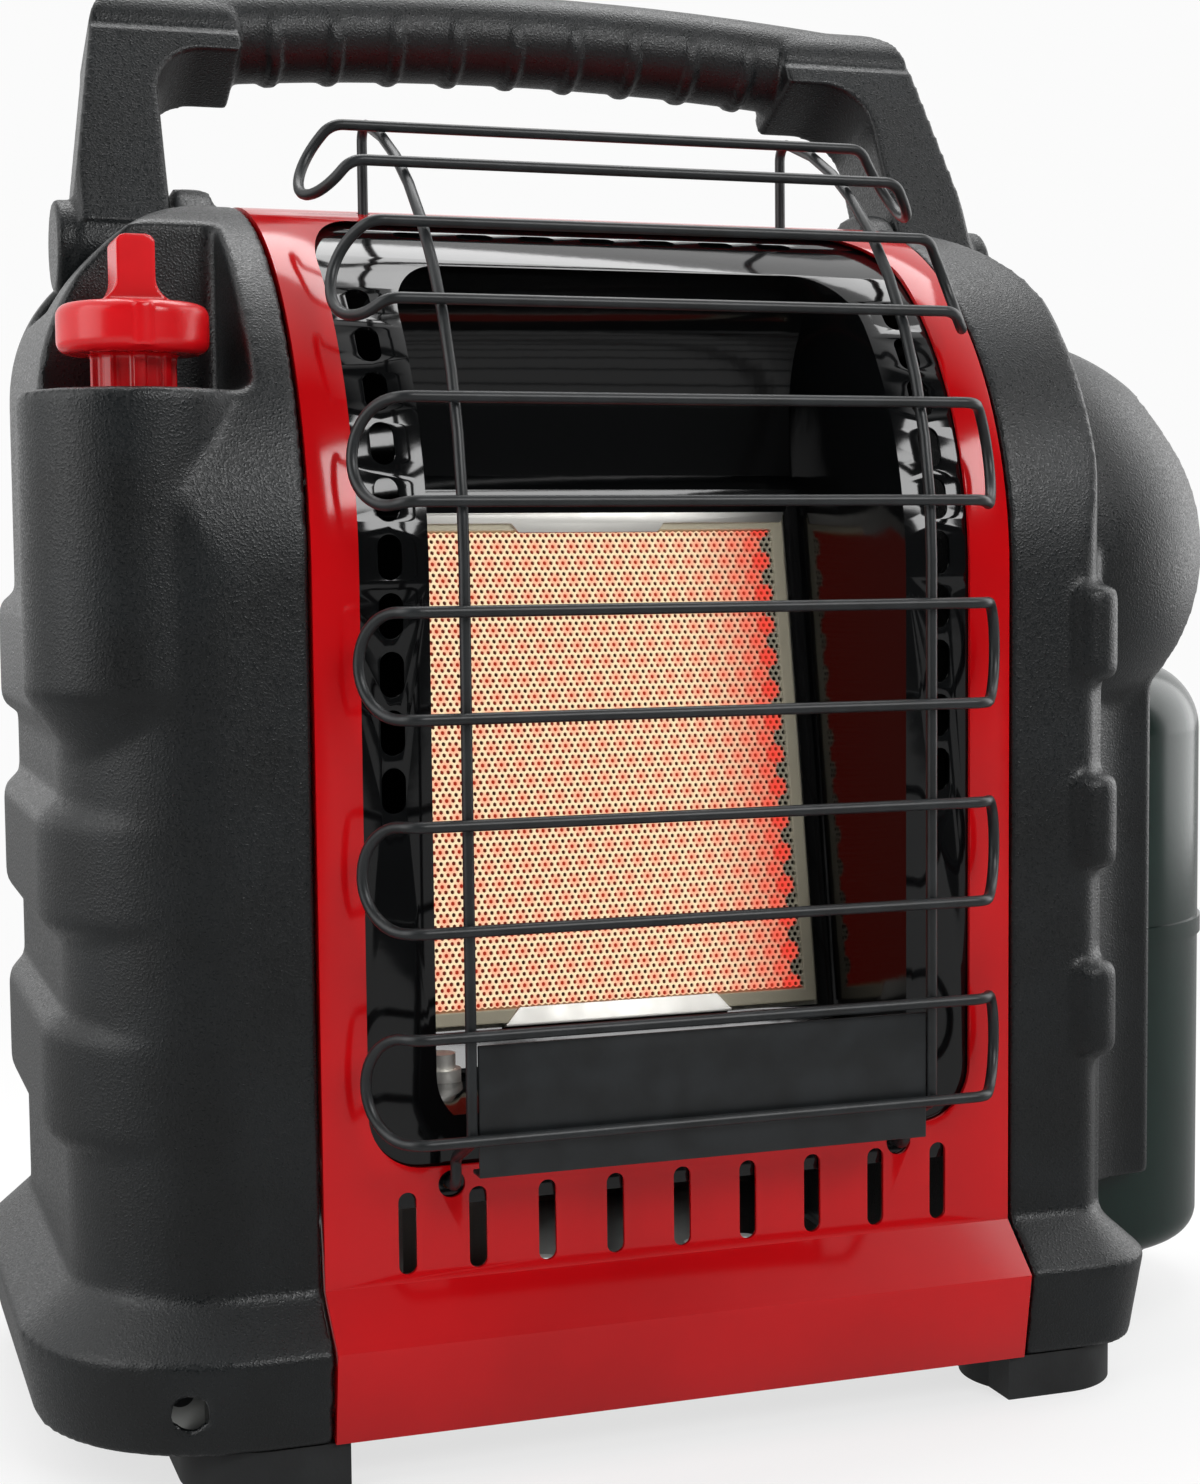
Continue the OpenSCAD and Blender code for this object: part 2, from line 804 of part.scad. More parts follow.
module guard_upright(s) {
    r = wire_d / 2;
    x = s * upright_gap / 2;
    a = [0, sin(guard_end), cos(guard_end)];
    bend = [x, guard_y, guard_bend_z];
    tail = [x, arch_y - guard_r * cos(guard_end), guard_bend_z + guard_r * sin(guard_end)];
    end = tail + a * tail_len;
    step_y = front_y - 4;
    color("#2b2e2f") {
        translate([x, arch_y, guard_bend_z]) rotate([90, 0, 90]) rotate([0, 0, 180 - guard_end])
            rotate_extrude(angle = guard_end) translate([guard_r, 0]) circle(r);
        translate(bend) sphere(r * 1.04);
        translate(tail) sphere(r * 1.04);
        bent_tube([
            bend, [x, guard_y, 84], [x, step_y, foot_hole_z + 7.5], [x, step_y, foot_hole_z],
            [x, front_y + 7, foot_hole_z]
        ], r, 3);
        bent_tube([tail, end, [x, end[1], tail_z]], r, 4);
    }
}

module guard_upright_left() {
    guard_upright(-1);
}

module guard_upright_right() {
    guard_upright(1);
}

// Direction of the bent sheet that a loop lies in, at u millimetres along it from the middle
function sheet_turn(u) = sign(u) * min(loop_tilt, max(0, abs(u) - loop_flat) / loop_bend * 180 / PI);

// Place on that sheet, seen from above
function sheet_place(u) = let (v = abs(u), a = abs(sheet_turn(u)), rest = max(0, v - loop_flat - loop_arc))
    [
        sign(u) * (min(v, loop_flat) + loop_bend * sin(a) + rest * cos(a)),
        loop_bend * (1 - cos(a)) + rest * sin(a)
    ];

// Middle line of a loop on its flattened sheet: [u, z, direction], two rods joined by half circles
function loop_line() = [
    for (s = [1, -1]) each [
        for (side = [-1, 1], k = [0 : 4]) let (part = side < 0 ? 4 - k : k)
            [s * side * (loop_flat + loop_arc * part / 4), -s * loop_half, s > 0 ? 0 : 180],
        for (a = [-90 : 15 : 90]) [
            s * (loop_straight + loop_half * cos(a)), s * loop_half * sin(a), a + (s > 0 ? 90 : 270)
        ]
    ]
];

// Points of the wire's skin round one point of the middle line
function wire_ring(q) = let (a = sheet_turn(q[0]), p = sheet_place(q[0])) [
    for (k = [0 : loop_sides - 1]) let (
        f = k * 360 / loop_sides, across = -wire_d / 2 * cos(f) * sin(q[2]), out = wire_d / 2 * sin(f)
    ) [
        p[0] + across * cos(a) - out * sin(a),
        p[1] + across * sin(a) + out * cos(a),
        q[1] + wire_d / 2 * cos(f) * cos(q[2])
    ]
];

// One loop of two cross rods, with round ends bent back towards the panel
module guard_loop(i) {
    s = rod_z0 + rod_pitch * (2 * i + 0.5);
    line = loop_line();
    rings = len(line);
    color("#2b2e2f") on_arch(s, guard_r + wire_d - (s > guard_bend_z ? 0.6 : 0.1), guard_bend_z) polyhedron(
        points = [for (q = line) each wire_ring(q)],
        faces = [for (m = [0 : rings - 1], k = [0 : loop_sides - 1])
            let (n = (m + 1) % rings, j = (k + 1) % loop_sides)
            [m * loop_sides + k, n * loop_sides + k, n * loop_sides + j, m * loop_sides + j]]
    );
}

module guard_loop_1() {
    guard_loop(0);
}

module guard_loop_2() {
    guard_loop(1);
}

module guard_loop_3() {
    guard_loop(2);
}

module guard_loop_4() {
    guard_loop(3);
}

module guard_loop_5() {
    guard_loop(4);
}

module guard_loop_6() {
    guard_loop(5);
}

// Bare plate that closes the lowest gap between the uprights
module guard_plate() {
    x = upright_gap / 2 - wire_d / 2 - 0.2;
    y = guard_y - 0.4;
    color("#25282a") {
        block([-x, y, 76], [x, y + 0.8, 107]);
        block([-x, y, 75.2], [x, y + 6, 76.2]);
    }
}

// ---- Handle ----------------------------------------------------------------

module at_pivot() {
    translate([0, pivot_y, pivot_z]) rotate([-handle_lean, 0, 0]) children();
}

// Front view of one arm with its round upper corner, on the right-hand side
module arm_front() {
    throat_z = grip_top - 2 * grip_r - 6;
    difference() {
        union() {
            polygon([
                [arm_in, -arm_half_t], [arm_flank, -arm_half_t], [arm_corner_x + arm_corner_r, arm_corner_z],
                [arm_in, arm_corner_z]
            ]);
            translate([arm_corner_x, arm_corner_z]) circle(arm_corner_r);
        }
        difference() {
            translate([60, -30]) square([arm_in - 60, throat_z + 30]);
            translate([arm_in - arm_fillet, throat_z - arm_fillet]) square(2 * arm_fillet);
        }
        translate([arm_in - arm_fillet, throat_z - arm_fillet]) circle(arm_fillet);
    }
}

module arm_side() {
    circle(arm_half_t - 1);
    translate([-arm_half_t, 0]) square([2 * arm_half_t, grip_top - 2 * grip_r]);
    translate([0, grip_top - grip_r - 7]) circle(grip_r + 0.6);
}

// Plan of an arm: its outer side spreads towards the back
module arm_plan() {
    spread = (arm_flank - arm_out) / arm_half_t;
    d = arm_half_t + 2;
    polygon([[60, -d], [arm_out - 2 * spread, -d], [arm_out + spread * (arm_half_t + d), d], [60, d]]);
}

// Round grip that bows upwards along a large arc
module grip_bow() {
    translate([0, 0, grip_top - grip_arc_r]) rotate([90, 0, 0]) rotate([0, 0, 90 - grip_angle])
        rotate_extrude(angle = 2 * grip_angle, $fn = 720)
            translate([grip_arc_r - grip_r, 0]) circle(grip_r, $fn = 64);
}

module handle() {
    color("#2a2c2e") at_pivot() difference() {
        union() {
            grip_bow();
            for (m = [0, 1]) mirror([m, 0, 0]) {
                intersection() {
                    endwise(-arm_half_t - 1, arm_half_t + 1) arm_front();
                    across(62, arm_flank + 5) arm_side();
                    upward(-arm_half_t - 1, grip_top) arm_plan();
                }
                rod_x(arm_out - 6, boss_out, 0, 0, boss_r);
            }
            for (i = [-4 : 4]) rib_ring(i);
        }
        for (m = [0, 1]) mirror([m, 0, 0]) rod_x(100, arm_out + 2, 0, 0, pin_d / 2 + run_fit);
    }
}

// Finger rib under the grip, number i from the middle
module rib_ring(i) {
    middle_r = grip_arc_r - grip_r;
    turn = i * rib_pitch / middle_r * 180 / PI;
    translate([middle_r * sin(turn), 0, grip_top - grip_arc_r + middle_r * cos(turn)])
        rotate([0, turn, 0]) translate([-rib_w / 2, 0, -rib_drop]) rotate([0, 90, 0])
            cylinder(h = rib_w, r = grip_r - 0.2);
}

// Shouldered pin from inside the ear out through the arm
module handle_pin(s) {
    color("#c4c6c8") at_pivot() mirror([s < 0 ? 1 : 0, 0, 0]) {
        rod_x(ear_in - 0.2, arm_out + 1.5, 0, 0, pin_d / 2);
        rod_x(ear_in - 3.2, ear_in - 0.2, 0, 0, pin_d / 2 + 2.5);
    }
}

module handle_pin_left() {
    handle_pin(-1);
}

module handle_pin_right() {
    handle_pin(1);
}

// ---- Knob and gas control --------------------------------------------------

module at_knob() {
    translate([knob_x, knob_y, 0]) children();
}

module knob() {
    r = knob_d / 2;
    color("#d4141c") at_knob() {
        translate([0, 0, disc_z]) rotate_extrude() {
            square([r - 3, disc_h]);
            translate([0, 3]) square([r, disc_h - 6]);
            for (z = [3, disc_h - 3]) translate([r - 3, z]) circle(3);
        }
        rod_z(disc_z - 13, disc_z + 2, 0, 0, skirt_r - 2.5);
        for (a = [0 : 45 : 315]) rotate([0, 0, a])
            translate([skirt_r - 3.5, -1.5, disc_z - 13]) cube([2.8, 3, 14]);
        rod_z(disc_z + 1, disc_z + disc_h - 1, 0, pointer_r - r - 0.6, pointer_r);
        endwise(-bar_half, bar_half) {
            translate([-bar_w / 2, disc_z + 6]) square([bar_w, knob_top_z - disc_z - 8]);
            translate([-bar_w / 2 + 2, disc_z + 6]) square([bar_w - 4, knob_top_z - disc_z - 6]);
            for (x = [2 - bar_w / 2, bar_w / 2 - 2]) translate([x, knob_top_z - 2]) circle(2);
            bar_flare();
        }
    }
}

// Hollow flare where the finger bar meets the disc
module bar_flare() {
    r = 6;
    for (s = [-1, 1]) difference() {
        translate([s * (bar_w / 2 + r / 2), disc_z + disc_h + r / 2 - 0.5]) square([r, r + 1], center = true);
        translate([s * (bar_w / 2 + r), disc_z + disc_h + r]) circle(r);
    }
}

module knob_stem() {
    color("#c9a24a") at_knob() difference() {
        rod_z(238.5, disc_z - 13.1, 0, 0, 3);
        block([1.8, -5, 246], [5, 5, disc_z]);
    }
}

// Return spring round the stem, between the valve and the knob's skirt
module knob_spring() {
    color("#a7aaac") at_knob() difference() {
        rod_z(241.8, disc_z - 13.2, 0, 0, 7);
        rod_z(241, disc_z - 13, 0, 0, 5.6);
    }
}

// Rod that carries the knob's push down to the igniter
module push_rod() {
    color("#c9a24a") at_knob() rod_z(206, 238.4, 0, 0, 2.4);
}

module gas_valve() {
    color("#b8923f") at_knob() difference() {
        union() {
            rod_z(208, 240, 0, 0, 15);
            rod_y(12, 18, 0, 212, 5.5);
            rod_y(12, 18, 0, 230, 5.5);
            rod_x(12, 18, 0, 222, 4.5);
        }
        rod_z(207, 241, 0, 0, 3.1);
    }
}

module valve_bracket() {
    color("#9a9da0") difference() {
        block([knob_x - 14, knob_y - 14, 240.1], [knob_x + 30, knob_y + 22, 241.6]);
        rod_z(239, 243, knob_x, knob_y, 4.5);
    }
}

module piezo_igniter() {
    color("#1a1b1c") at_knob() {
        rod_z(174, 200, 0, 0, 7.5);
        rod_z(200, 202.8, 0, 0, 4);
    }
}

module igniter_lead() {
    color("#8e1b1b") piped([
        [knob_x, knob_y, 173.9], [knob_x, knob_y, 150], [-106, knob_y, 150], [-106, knob_y, 70],
        [-106, pilot_y + 13, 70], [pilot_x - 3, pilot_y + 13, 70], [pilot_x - 3, pilot_y + 13, 79.9]
    ], 1.5);
}

module pilot_burner() {
    color("#d3c08a") {
        rod_z(79, 90, pilot_x, pilot_y, 5);
        rod_z(90, 94, pilot_x, pilot_y, 3.6);
    }
}

module pilot_bracket() {
    color("#b9bcbe") difference() {
        block([pilot_x - 12, pilot_y - 9, 77.6], [pilot_x + 12, pilot_y + 18, 78.9]);
        rod_z(76, 80, pilot_x, pilot_y, 2.6);
        rod_z(76, 80, pilot_x - 3, pilot_y + 13, 2.2);
        rod_z(76, 80, pilot_x + 7, pilot_y + 13, 2.2);
    }
}

module spark_electrode() {
    color("#e9e5da") {
        rod_z(80, 83, pilot_x - 3, pilot_y + 13, 2);
    }
}

module thermocouple() {
    color("#b87333") {
        rod_z(77, 83, pilot_x + 7, pilot_y + 13, 1.8);
        piped([
            [pilot_x + 7, pilot_y + 13, 78], [pilot_x + 7, pilot_y + 13, 56], [-100, pilot_y + 13, 56],
            [-100, pilot_y, 56], [-100, pilot_y, 196], [knob_x + 6, pilot_y, 196], [knob_x + 6, pilot_y, 207.9]
        ], 1.2);
    }
}

module pilot_tube() {
    color("#c7cacc") piped([
        [knob_x + 18.1, knob_y, 222], [knob_x + 30, knob_y, 222], [knob_x + 30, knob_y, 66],
        [pilot_x, knob_y, 66], [pilot_x, pilot_y, 66], [pilot_x, pilot_y, 78.9]
    ], 2);
}

module burner_feed_tube() {
    color("#c7cacc") piped([
        [-74.1, mix_y, mix_z], [knob_x, mix_y, mix_z], [knob_x, mix_y, 212], [knob_x, knob_y + 18.1, 212]
    ], 3);
}

module supply_tube() {
    color("#2e3133") piped([
        [tank_x - 14.2, 72, swivel_z], [tank_x - 28, 72, swivel_z], [tank_x - 28, 72, swivel_z - 10],
        [knob_x, 72, swivel_z - 10], [knob_x, knob_y + 18.1, swivel_z - 10]
    ], 4);
}

// ---- Regulator -------------------------------------------------------------

// Fixed elbow behind the bay, which the swivelling regulator turns in
module outlet_elbow() {
    color("#c9a24a") difference() {
        union() {
            rod_y(tank_y + bay_half + wall + 0.2, 80, tank_x, swivel_z, 9);
            rod_x(tank_x - 14, tank_x, 72, swivel_z, 6);
        }
        rod_y(50, 68, tank_x, swivel_z, trunnion_r + run_fit);
    }
}

module regulator_body() {
    color("#3a3d40") difference() {
        union() {
            rod_z(228, 244, tank_x, tank_y, 20);
            rod_z(208, 229, tank_x, tank_y, 16.5);
            rod_y(tank_y - bay_half - 1.5, tank_y + bay_half + 9, tank_x, swivel_z, trunnion_r);
        }
        rod_z(207, 224, tank_x, tank_y, 13);
    }
}

module regulator_cap() {
    color("#8f9396") translate([tank_x, tank_y, 0]) {
        rod_z(246, 250, 0, 0, 20);
        rod_z(250, 254, 0, 0, 7);
    }
}

module inlet_seal() {
    color("#111213") difference() {
        rod_z(221.5, 223.9, tank_x, tank_y, 12.9);
        rod_z(221, 225, tank_x, tank_y, 6);
    }
}

// ---- Gas cylinder ----------------------------------------------------------

module at_tank() {
    translate([tank_x, tank_y, 17]) children();
}

// Half outline of the cylinder drawn t inside its skin: round foot, straight wall, round shoulder
module tank_outline(t) {
    r = tank_d / 2;
    translate([0, t]) square([r - 8, 20]);
    translate([0, 8]) square([r - t, tank_h - 8 - 24]);
    translate([0, tank_h - 30]) square([r - 20, 26 - t]);
    intersection() {
        union() {
            translate([r - 8, 8]) circle(8 - t);
            translate([r - 20, tank_h - 24]) circle(20 - t);
        }
        square([r, tank_h]);
    }
}

module tank_shell() {
    color("#12372c") at_tank() difference() {
        rotate_extrude() tank_outline(0);
        rotate_extrude() tank_outline(1.2);
    }
}

// Raised seam where the two drawn halves are welded
module tank_weld_band() {
    color("#0f3027") at_tank() difference() {
        rod_z(tank_h * 0.52, tank_h * 0.52 + 5, 0, 0, tank_d / 2 + 0.8);
        rod_z(0, tank_h, 0, 0, tank_d / 2 + 0.02);
    }
}

module tank_neck() {
    color("#b9bcbe") translate([tank_x, tank_y, 0]) {
        rod_z(17 + tank_h - 3.95, 207.5, 0, 0, 15);
        rod_z(207.4, 221, 0, 0, 12.7);
    }
}

module tank_relief_valve() {
    color("#c9a24a") translate([tank_x + 22, tank_y, 17]) rod_z(tank_h - 3.95, tank_h, 0, 0, 4);
}

module tank_base_ring() {
    color("#0d2a22") at_tank() difference() {
        rod_z(-4, -0.05, 0, 0, 36);
        rod_z(-5, 1, 0, 0, 33);
    }
}

// ---- Tip-over switch -------------------------------------------------------

module tip_switch_case() {
    color("#e8e8e4") difference() {
        block([-44, 30, 13.5], [-16, 48, 50]);
        block([-42, 32, 15], [-18, 46, 48.5]);
    }
}

module tip_switch_pendulum() {
    color("#7c7f82") {
        rod_y(32.1, 45.9, -30, 44, 1.2);
        rod_z(26, 43, -30, 39, 1);
        translate([-30, 39, 24]) sphere(5);
    }
}

// ---- Feet and fasteners ----------------------------------------------------

// One rubber corner foot, rounded at its outer corner
module foot(sx, sy) {
    color("#17191a") mirror([sx < 0 ? 1 : 0, 0, 0]) mirror([0, sy < 0 ? 1 : 0, 0]) difference() {
        union() {
            upward(0, bottom_z - 0.1) {
                translate([foot_in, foot_front - foot_len]) square([foot_len, foot_len - 20]);
                translate([foot_in, foot_front - 20]) square([foot_len - 20, 20]);
                translate([foot_out - 20, foot_front - 20]) circle(20);
            }
            rod_z(bottom_z - 1, bottom_z + 0.47, foot_x, foot_y, 8);
        }
        rod_z(-1, 6, foot_x, foot_y, 5);
        rod_z(-1, bottom_z + 1, foot_x, foot_y, 2.2);
    }
}

module foot_front_left() {
    foot(-1, -1);
}

module foot_front_right() {
    foot(1, -1);
}

module foot_rear_left() {
    foot(-1, 1);
}

module foot_rear_right() {
    foot(1, 1);
}

module foot_screws() {
    color("#b7b9bb") for (x = [-foot_x, foot_x], y = [-foot_y, foot_y]) {
        rod_z(3, 5.9, x, y, 4);
        rod_z(5.8, 20, x, y, 2);
    }
}

module cover_screws() {
    color("#b7b9bb") {
        screw_y(-left_screw_x, left_tab_y, corner_z, -1);
        screw_y(right_screw_x, right_tab_y + sheet, corner_z, 1);
    }
}

// Pan-head screw along Y whose head stands on the plane at y; side is the way that the head looks
module screw_y(x, y, z, side) {
    translate([x, y, z]) rotate([side < 0 ? 90 : -90, 0, 0]) {
        cylinder(h = 2.2, r = 3.4);
        translate([0, 0, -8]) cylinder(h = 9, r = 1.6);
    }
}

front_panel();
left_cover();
right_cover();
rear_cover();
base_pan();
heat_shield();
reflector();
burner_tile();
tile_gasket();
tile_clips();
burner_box();
venturi_tube();
gas_orifice();
guard_upright_left();
guard_upright_right();
guard_loop_1();
guard_loop_2();
guard_loop_3();
guard_loop_4();
guard_loop_5();
guard_loop_6();
guard_plate();
handle();
handle_pin_left();
handle_pin_right();
knob();
knob_stem();
knob_spring();
push_rod();
gas_valve();
valve_bracket();
piezo_igniter();
igniter_lead();
pilot_burner();
pilot_bracket();
thermocouple();
spark_electrode();
pilot_tube();
burner_feed_tube();
supply_tube();
outlet_elbow();
regulator_body();
regulator_cap();
inlet_seal();
tip_switch_case();
tip_switch_pendulum();
foot_front_left();
foot_front_right();
foot_rear_left();
foot_rear_right();
foot_screws();
panel_screws();
cover_screws();
tank_shell();
tank_weld_band();
tank_neck();
tank_relief_valve();
tank_base_ring();
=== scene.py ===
"""Looks of a portable gas heater: curved red front, wire guard, glowing tile, charcoal covers."""

import json
import math

import bpy
from mathutils import Matrix, Vector


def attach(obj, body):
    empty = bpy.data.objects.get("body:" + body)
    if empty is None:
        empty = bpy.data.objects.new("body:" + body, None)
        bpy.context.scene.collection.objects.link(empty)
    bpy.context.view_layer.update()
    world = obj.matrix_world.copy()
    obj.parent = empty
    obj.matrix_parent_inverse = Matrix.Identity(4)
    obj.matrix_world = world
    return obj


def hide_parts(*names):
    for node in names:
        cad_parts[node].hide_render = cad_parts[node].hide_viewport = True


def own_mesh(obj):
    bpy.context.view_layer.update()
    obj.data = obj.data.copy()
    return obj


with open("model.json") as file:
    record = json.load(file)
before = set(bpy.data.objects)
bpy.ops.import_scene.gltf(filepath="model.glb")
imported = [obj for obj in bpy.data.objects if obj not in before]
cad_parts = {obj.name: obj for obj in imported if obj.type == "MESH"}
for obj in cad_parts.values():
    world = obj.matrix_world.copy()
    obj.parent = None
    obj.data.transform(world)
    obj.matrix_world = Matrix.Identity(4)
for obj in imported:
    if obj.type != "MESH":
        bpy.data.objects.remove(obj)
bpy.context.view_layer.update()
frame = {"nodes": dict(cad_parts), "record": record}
NODES = frame["nodes"]
SLOT_OF = {part["node"]: part["material_slot"] for part in frame["record"]["subparts"]}
BODIES = frame["record"]["behaviour"]["bodies"]
BODY_OF = {node: body for body, nodes in BODIES.items() for node in nodes}
MM = 0.001

# Camera, from the photograph: place in metres, turns in degrees, focal length in pixels
CAMERA_PLACE = Vector((-0.2136, -0.6535, 0.2218))
CAMERA_YAW = 18.74
CAMERA_PITCH = 4.34
CAMERA_ROLL = -0.57
PICTURE_HEIGHT = 1484
FOCAL_PIXELS = 2450
SENSOR = 36

# Studio: background colour, and how bright the object sees the front, the side walls and the floor
BACKGROUND = "fbfbfb"
FRONT_LIGHT = 0.04
SIDE_LIGHT = 1.5
FLOOR_MIRRORED = 0.4

# The walls grow from dim to bright between these two values of a direction's Y
WALLS_DIM = -0.5
WALLS_BRIGHT = 0.35

# Paper floor, in metres: beside the object it is this share plain background, further out wholly
FLOOR_SIZE = 8
PLAIN_NEAR = 0.72
FADE_START = 0.15
FADE_END = 0.6

# Housing planes shared with the CAD, in millimetres
FRONT_Y = -85
ARCH_Y = 15

# Guard: its wire, and the path that the uprights follow up the front and over the shoulder
WIRE_R = 1.4
WIRE_SIDES = 12
BEND_STEP = 7.5
SHORTEST_RUN = 1e-6
GUARD_Y = -104
GUARD_R = ARCH_Y - GUARD_Y
GUARD_BEND_Z = 220
GUARD_END = 74.5
UPRIGHT_X = 60
FOOT_INSIDE = 7
FOOT_HOLE_Z = 69.5
STEP_Y = FRONT_Y - 4
STEP_RISE = 7.5
STEP_TOP_Z = 84
STEP_BEND = 3
TAIL_LENGTH = 8
TAIL_BEND = 4
TAIL_Z = 309

# Guard loops: two rods each, with ends that lean back, sunk into the uprights at the welds
LOOPS = 6
ROD_START = 84.8
ROD_PITCH = 24.9
LOOP_HALF = ROD_PITCH / 2
LOOP_REACH = 84.4
LOOP_TILT = 55
LOOP_FLAT = 70.6
LOOP_BEND = 6
WELD_ON_STRAIGHT = 0.1
WELD_ON_CURVE = 0.6

# Ceramic tile: it leans back about its lower front edge
TILE_Y = -37
TILE_Z = 98.5
TILE_LEAN = 10
TILE_W = 116
TILE_H = 136
TILE_FACE = -1
TILE_BACK = 11
TILE_EDGE = 0.5

# Field of holes on the tile: six-sided cells in dished groups, over a pocket in the block
CELL_SIDES = 6
HOLE_PITCH = 1.75
HOLE_R = 0.56
HOLE_DEPTH = 1.3
GROUP_COLUMNS = 3
GROUP_ROWS = 6
GROUP_PITCH = GROUP_COLUMNS * HOLE_PITCH
GROUP_DEPTH = 0.3
GROUPS_ACROSS = 21
GROUPS_UP = 14
FIELD_STEP = 0.15
FIELD_FACE = TILE_FACE + FIELD_STEP
RIM_UNDER_FIELD = 0.9
POCKET_SPARE = 1

# The tile glows left of LIT_TO, and turns from cream to red from HOT_FROM on
HOT_FROM = 20
LIT_TO = 51

# Points closer than this are merged, in metres: at a wire's end, elsewhere, between tile cells
MERGE_END = 0.00001
MERGE = 0.00002
MERGE_CELLS = 0.00003

# Angles in degrees: faces that meet at less shade as one, are rounded from, or count as flat
SMOOTH_SHEET = 40
SMOOTH_WIRE = 50
SMOOTH_MOULDED = 60
EDGE_ANGLE = 25
FLAT_ANGLE = 0.5

# Sheet metal and turned parts keep crisp edges, rounded to so many millimetres
ROUNDED = {"front_panel": 0.55, "reflector": 0.4, "guard_plate": 0.3, "tile_clips": 0.25}

# Moulded parts run out soft: size of their new faces in millimetres, and rounds of easing
EASED = {"left_cover": (1.5, 4), "right_cover": (1.5, 4), "handle": (0.9, 4), "knob": (0.5, 3)}


def linear(code):
    """An sRGB hex colour, such as "c1121f", as linear red, green, blue and alpha."""
    parts = [int(code[i : i + 2], 16) / 255 for i in (0, 2, 4)]
    return [p / 12.92 if p <= 0.04045 else ((p + 0.055) / 1.055) ** 2.4 for p in parts] + [1.0]


def add(tree, kind, links=None, **settings):
    """Adds a node. Settings are its properties or its sockets' values.

    Links are written as socket: (node, output).
    """
    new = tree.nodes.new(kind)
    for key, value in settings.items():
        if hasattr(new, key):
            setattr(new, key, value)
        else:
            new.inputs[key.replace("_", " ")].default_value = value
    for key, (source, output) in (links or {}).items():
        tree.links.new(source.outputs[output], new.inputs[key])
    return new


# ---- Camera, floor and light -----------------------------------------------


def make_camera():
    """The photograph's camera: yaw about the vertical, then pitch, then roll."""
    yaw, pitch, roll = (math.radians(a) for a in (CAMERA_YAW, CAMERA_PITCH, CAMERA_ROLL))
    level = Vector((math.sin(yaw), math.cos(yaw), 0))
    side = Vector((math.cos(yaw), -math.sin(yaw), 0))
    up = Vector((0, 0, 1))
    ahead = level * math.cos(pitch) - up * math.sin(pitch)
    above = up * math.cos(pitch) + level * math.sin(pitch)
    right = side * math.cos(roll) + above * math.sin(roll)
    top = above * math.cos(roll) - side * math.sin(roll)
    data = bpy.data.cameras.new("camera")
    data.sensor_width = SENSOR
    data.lens = FOCAL_PIXELS / PICTURE_HEIGHT * SENSOR
    data.clip_start = 0.01
    camera = bpy.data.objects.new("camera", data)
    bpy.context.scene.collection.objects.link(camera)
    turn = Matrix((right, top, -ahead)).transposed()
    camera.matrix_world = Matrix.Translation(CAMERA_PLACE) @ turn.to_4x4()
    bpy.context.scene.camera = camera


def make_floor():
    """White paper: it keeps the object's soft shadow and runs out into the plain background."""
    bpy.ops.mesh.primitive_plane_add(size=FLOOR_SIZE)
    floor = bpy.context.object
    floor.name = "floor"
    paper = bpy.data.materials.new("matt_white_paper")
    paper.use_nodes = True
    tree = paper.node_tree
    tree.nodes.clear()
    lit = add(tree, "ShaderNodeBsdfDiffuse", Color=linear("f4f4f4"))
    plain = add(tree, "ShaderNodeEmission", Color=linear(BACKGROUND), Strength=1.0)
    dim = add(tree, "ShaderNodeEmission", Color=linear(BACKGROUND), Strength=FLOOR_MIRRORED)
    ray = add(tree, "ShaderNodeLightPath")
    place = add(tree, "ShaderNodeTexCoord")
    away = add(tree, "ShaderNodeVectorMath", {0: (place, "Object")}, operation="LENGTH")
    share = add(tree, "ShaderNodeMapRange", {"Value": (away, "Value")},
                From_Min=FADE_START, From_Max=FADE_END, To_Min=PLAIN_NEAR, To_Max=1.0)
    seen = add(tree, "ShaderNodeMath", {0: (ray, "Is Camera Ray"), 1: (share, 0)},
               operation="MULTIPLY")
    direct = add(tree, "ShaderNodeMixShader", {0: (seen, 0), 1: (lit, 0), 2: (plain, 0)})
    mix = add(tree, "ShaderNodeMixShader",
              {0: (ray, "Is Glossy Ray"), 1: (direct, 0), 2: (dim, 0)})
    add(tree, "ShaderNodeOutputMaterial", {"Surface": (mix, 0)})
    floor.data.materials.append(paper)


def make_lamp(name, place, aim, size, power):
    """A white rectangular lamp. Place, aim and size are in metres, power in watts."""
    data = bpy.data.lights.new(name, "AREA")
    data.shape = "RECTANGLE"
    data.size, data.size_y = size
    data.energy = power
    lamp = bpy.data.objects.new(name, data)
    bpy.context.scene.collection.objects.link(lamp)
    lamp.location = place
    lamp.rotation_euler = (Vector(aim) - Vector(place)).to_track_quat("-Z", "Y").to_euler()


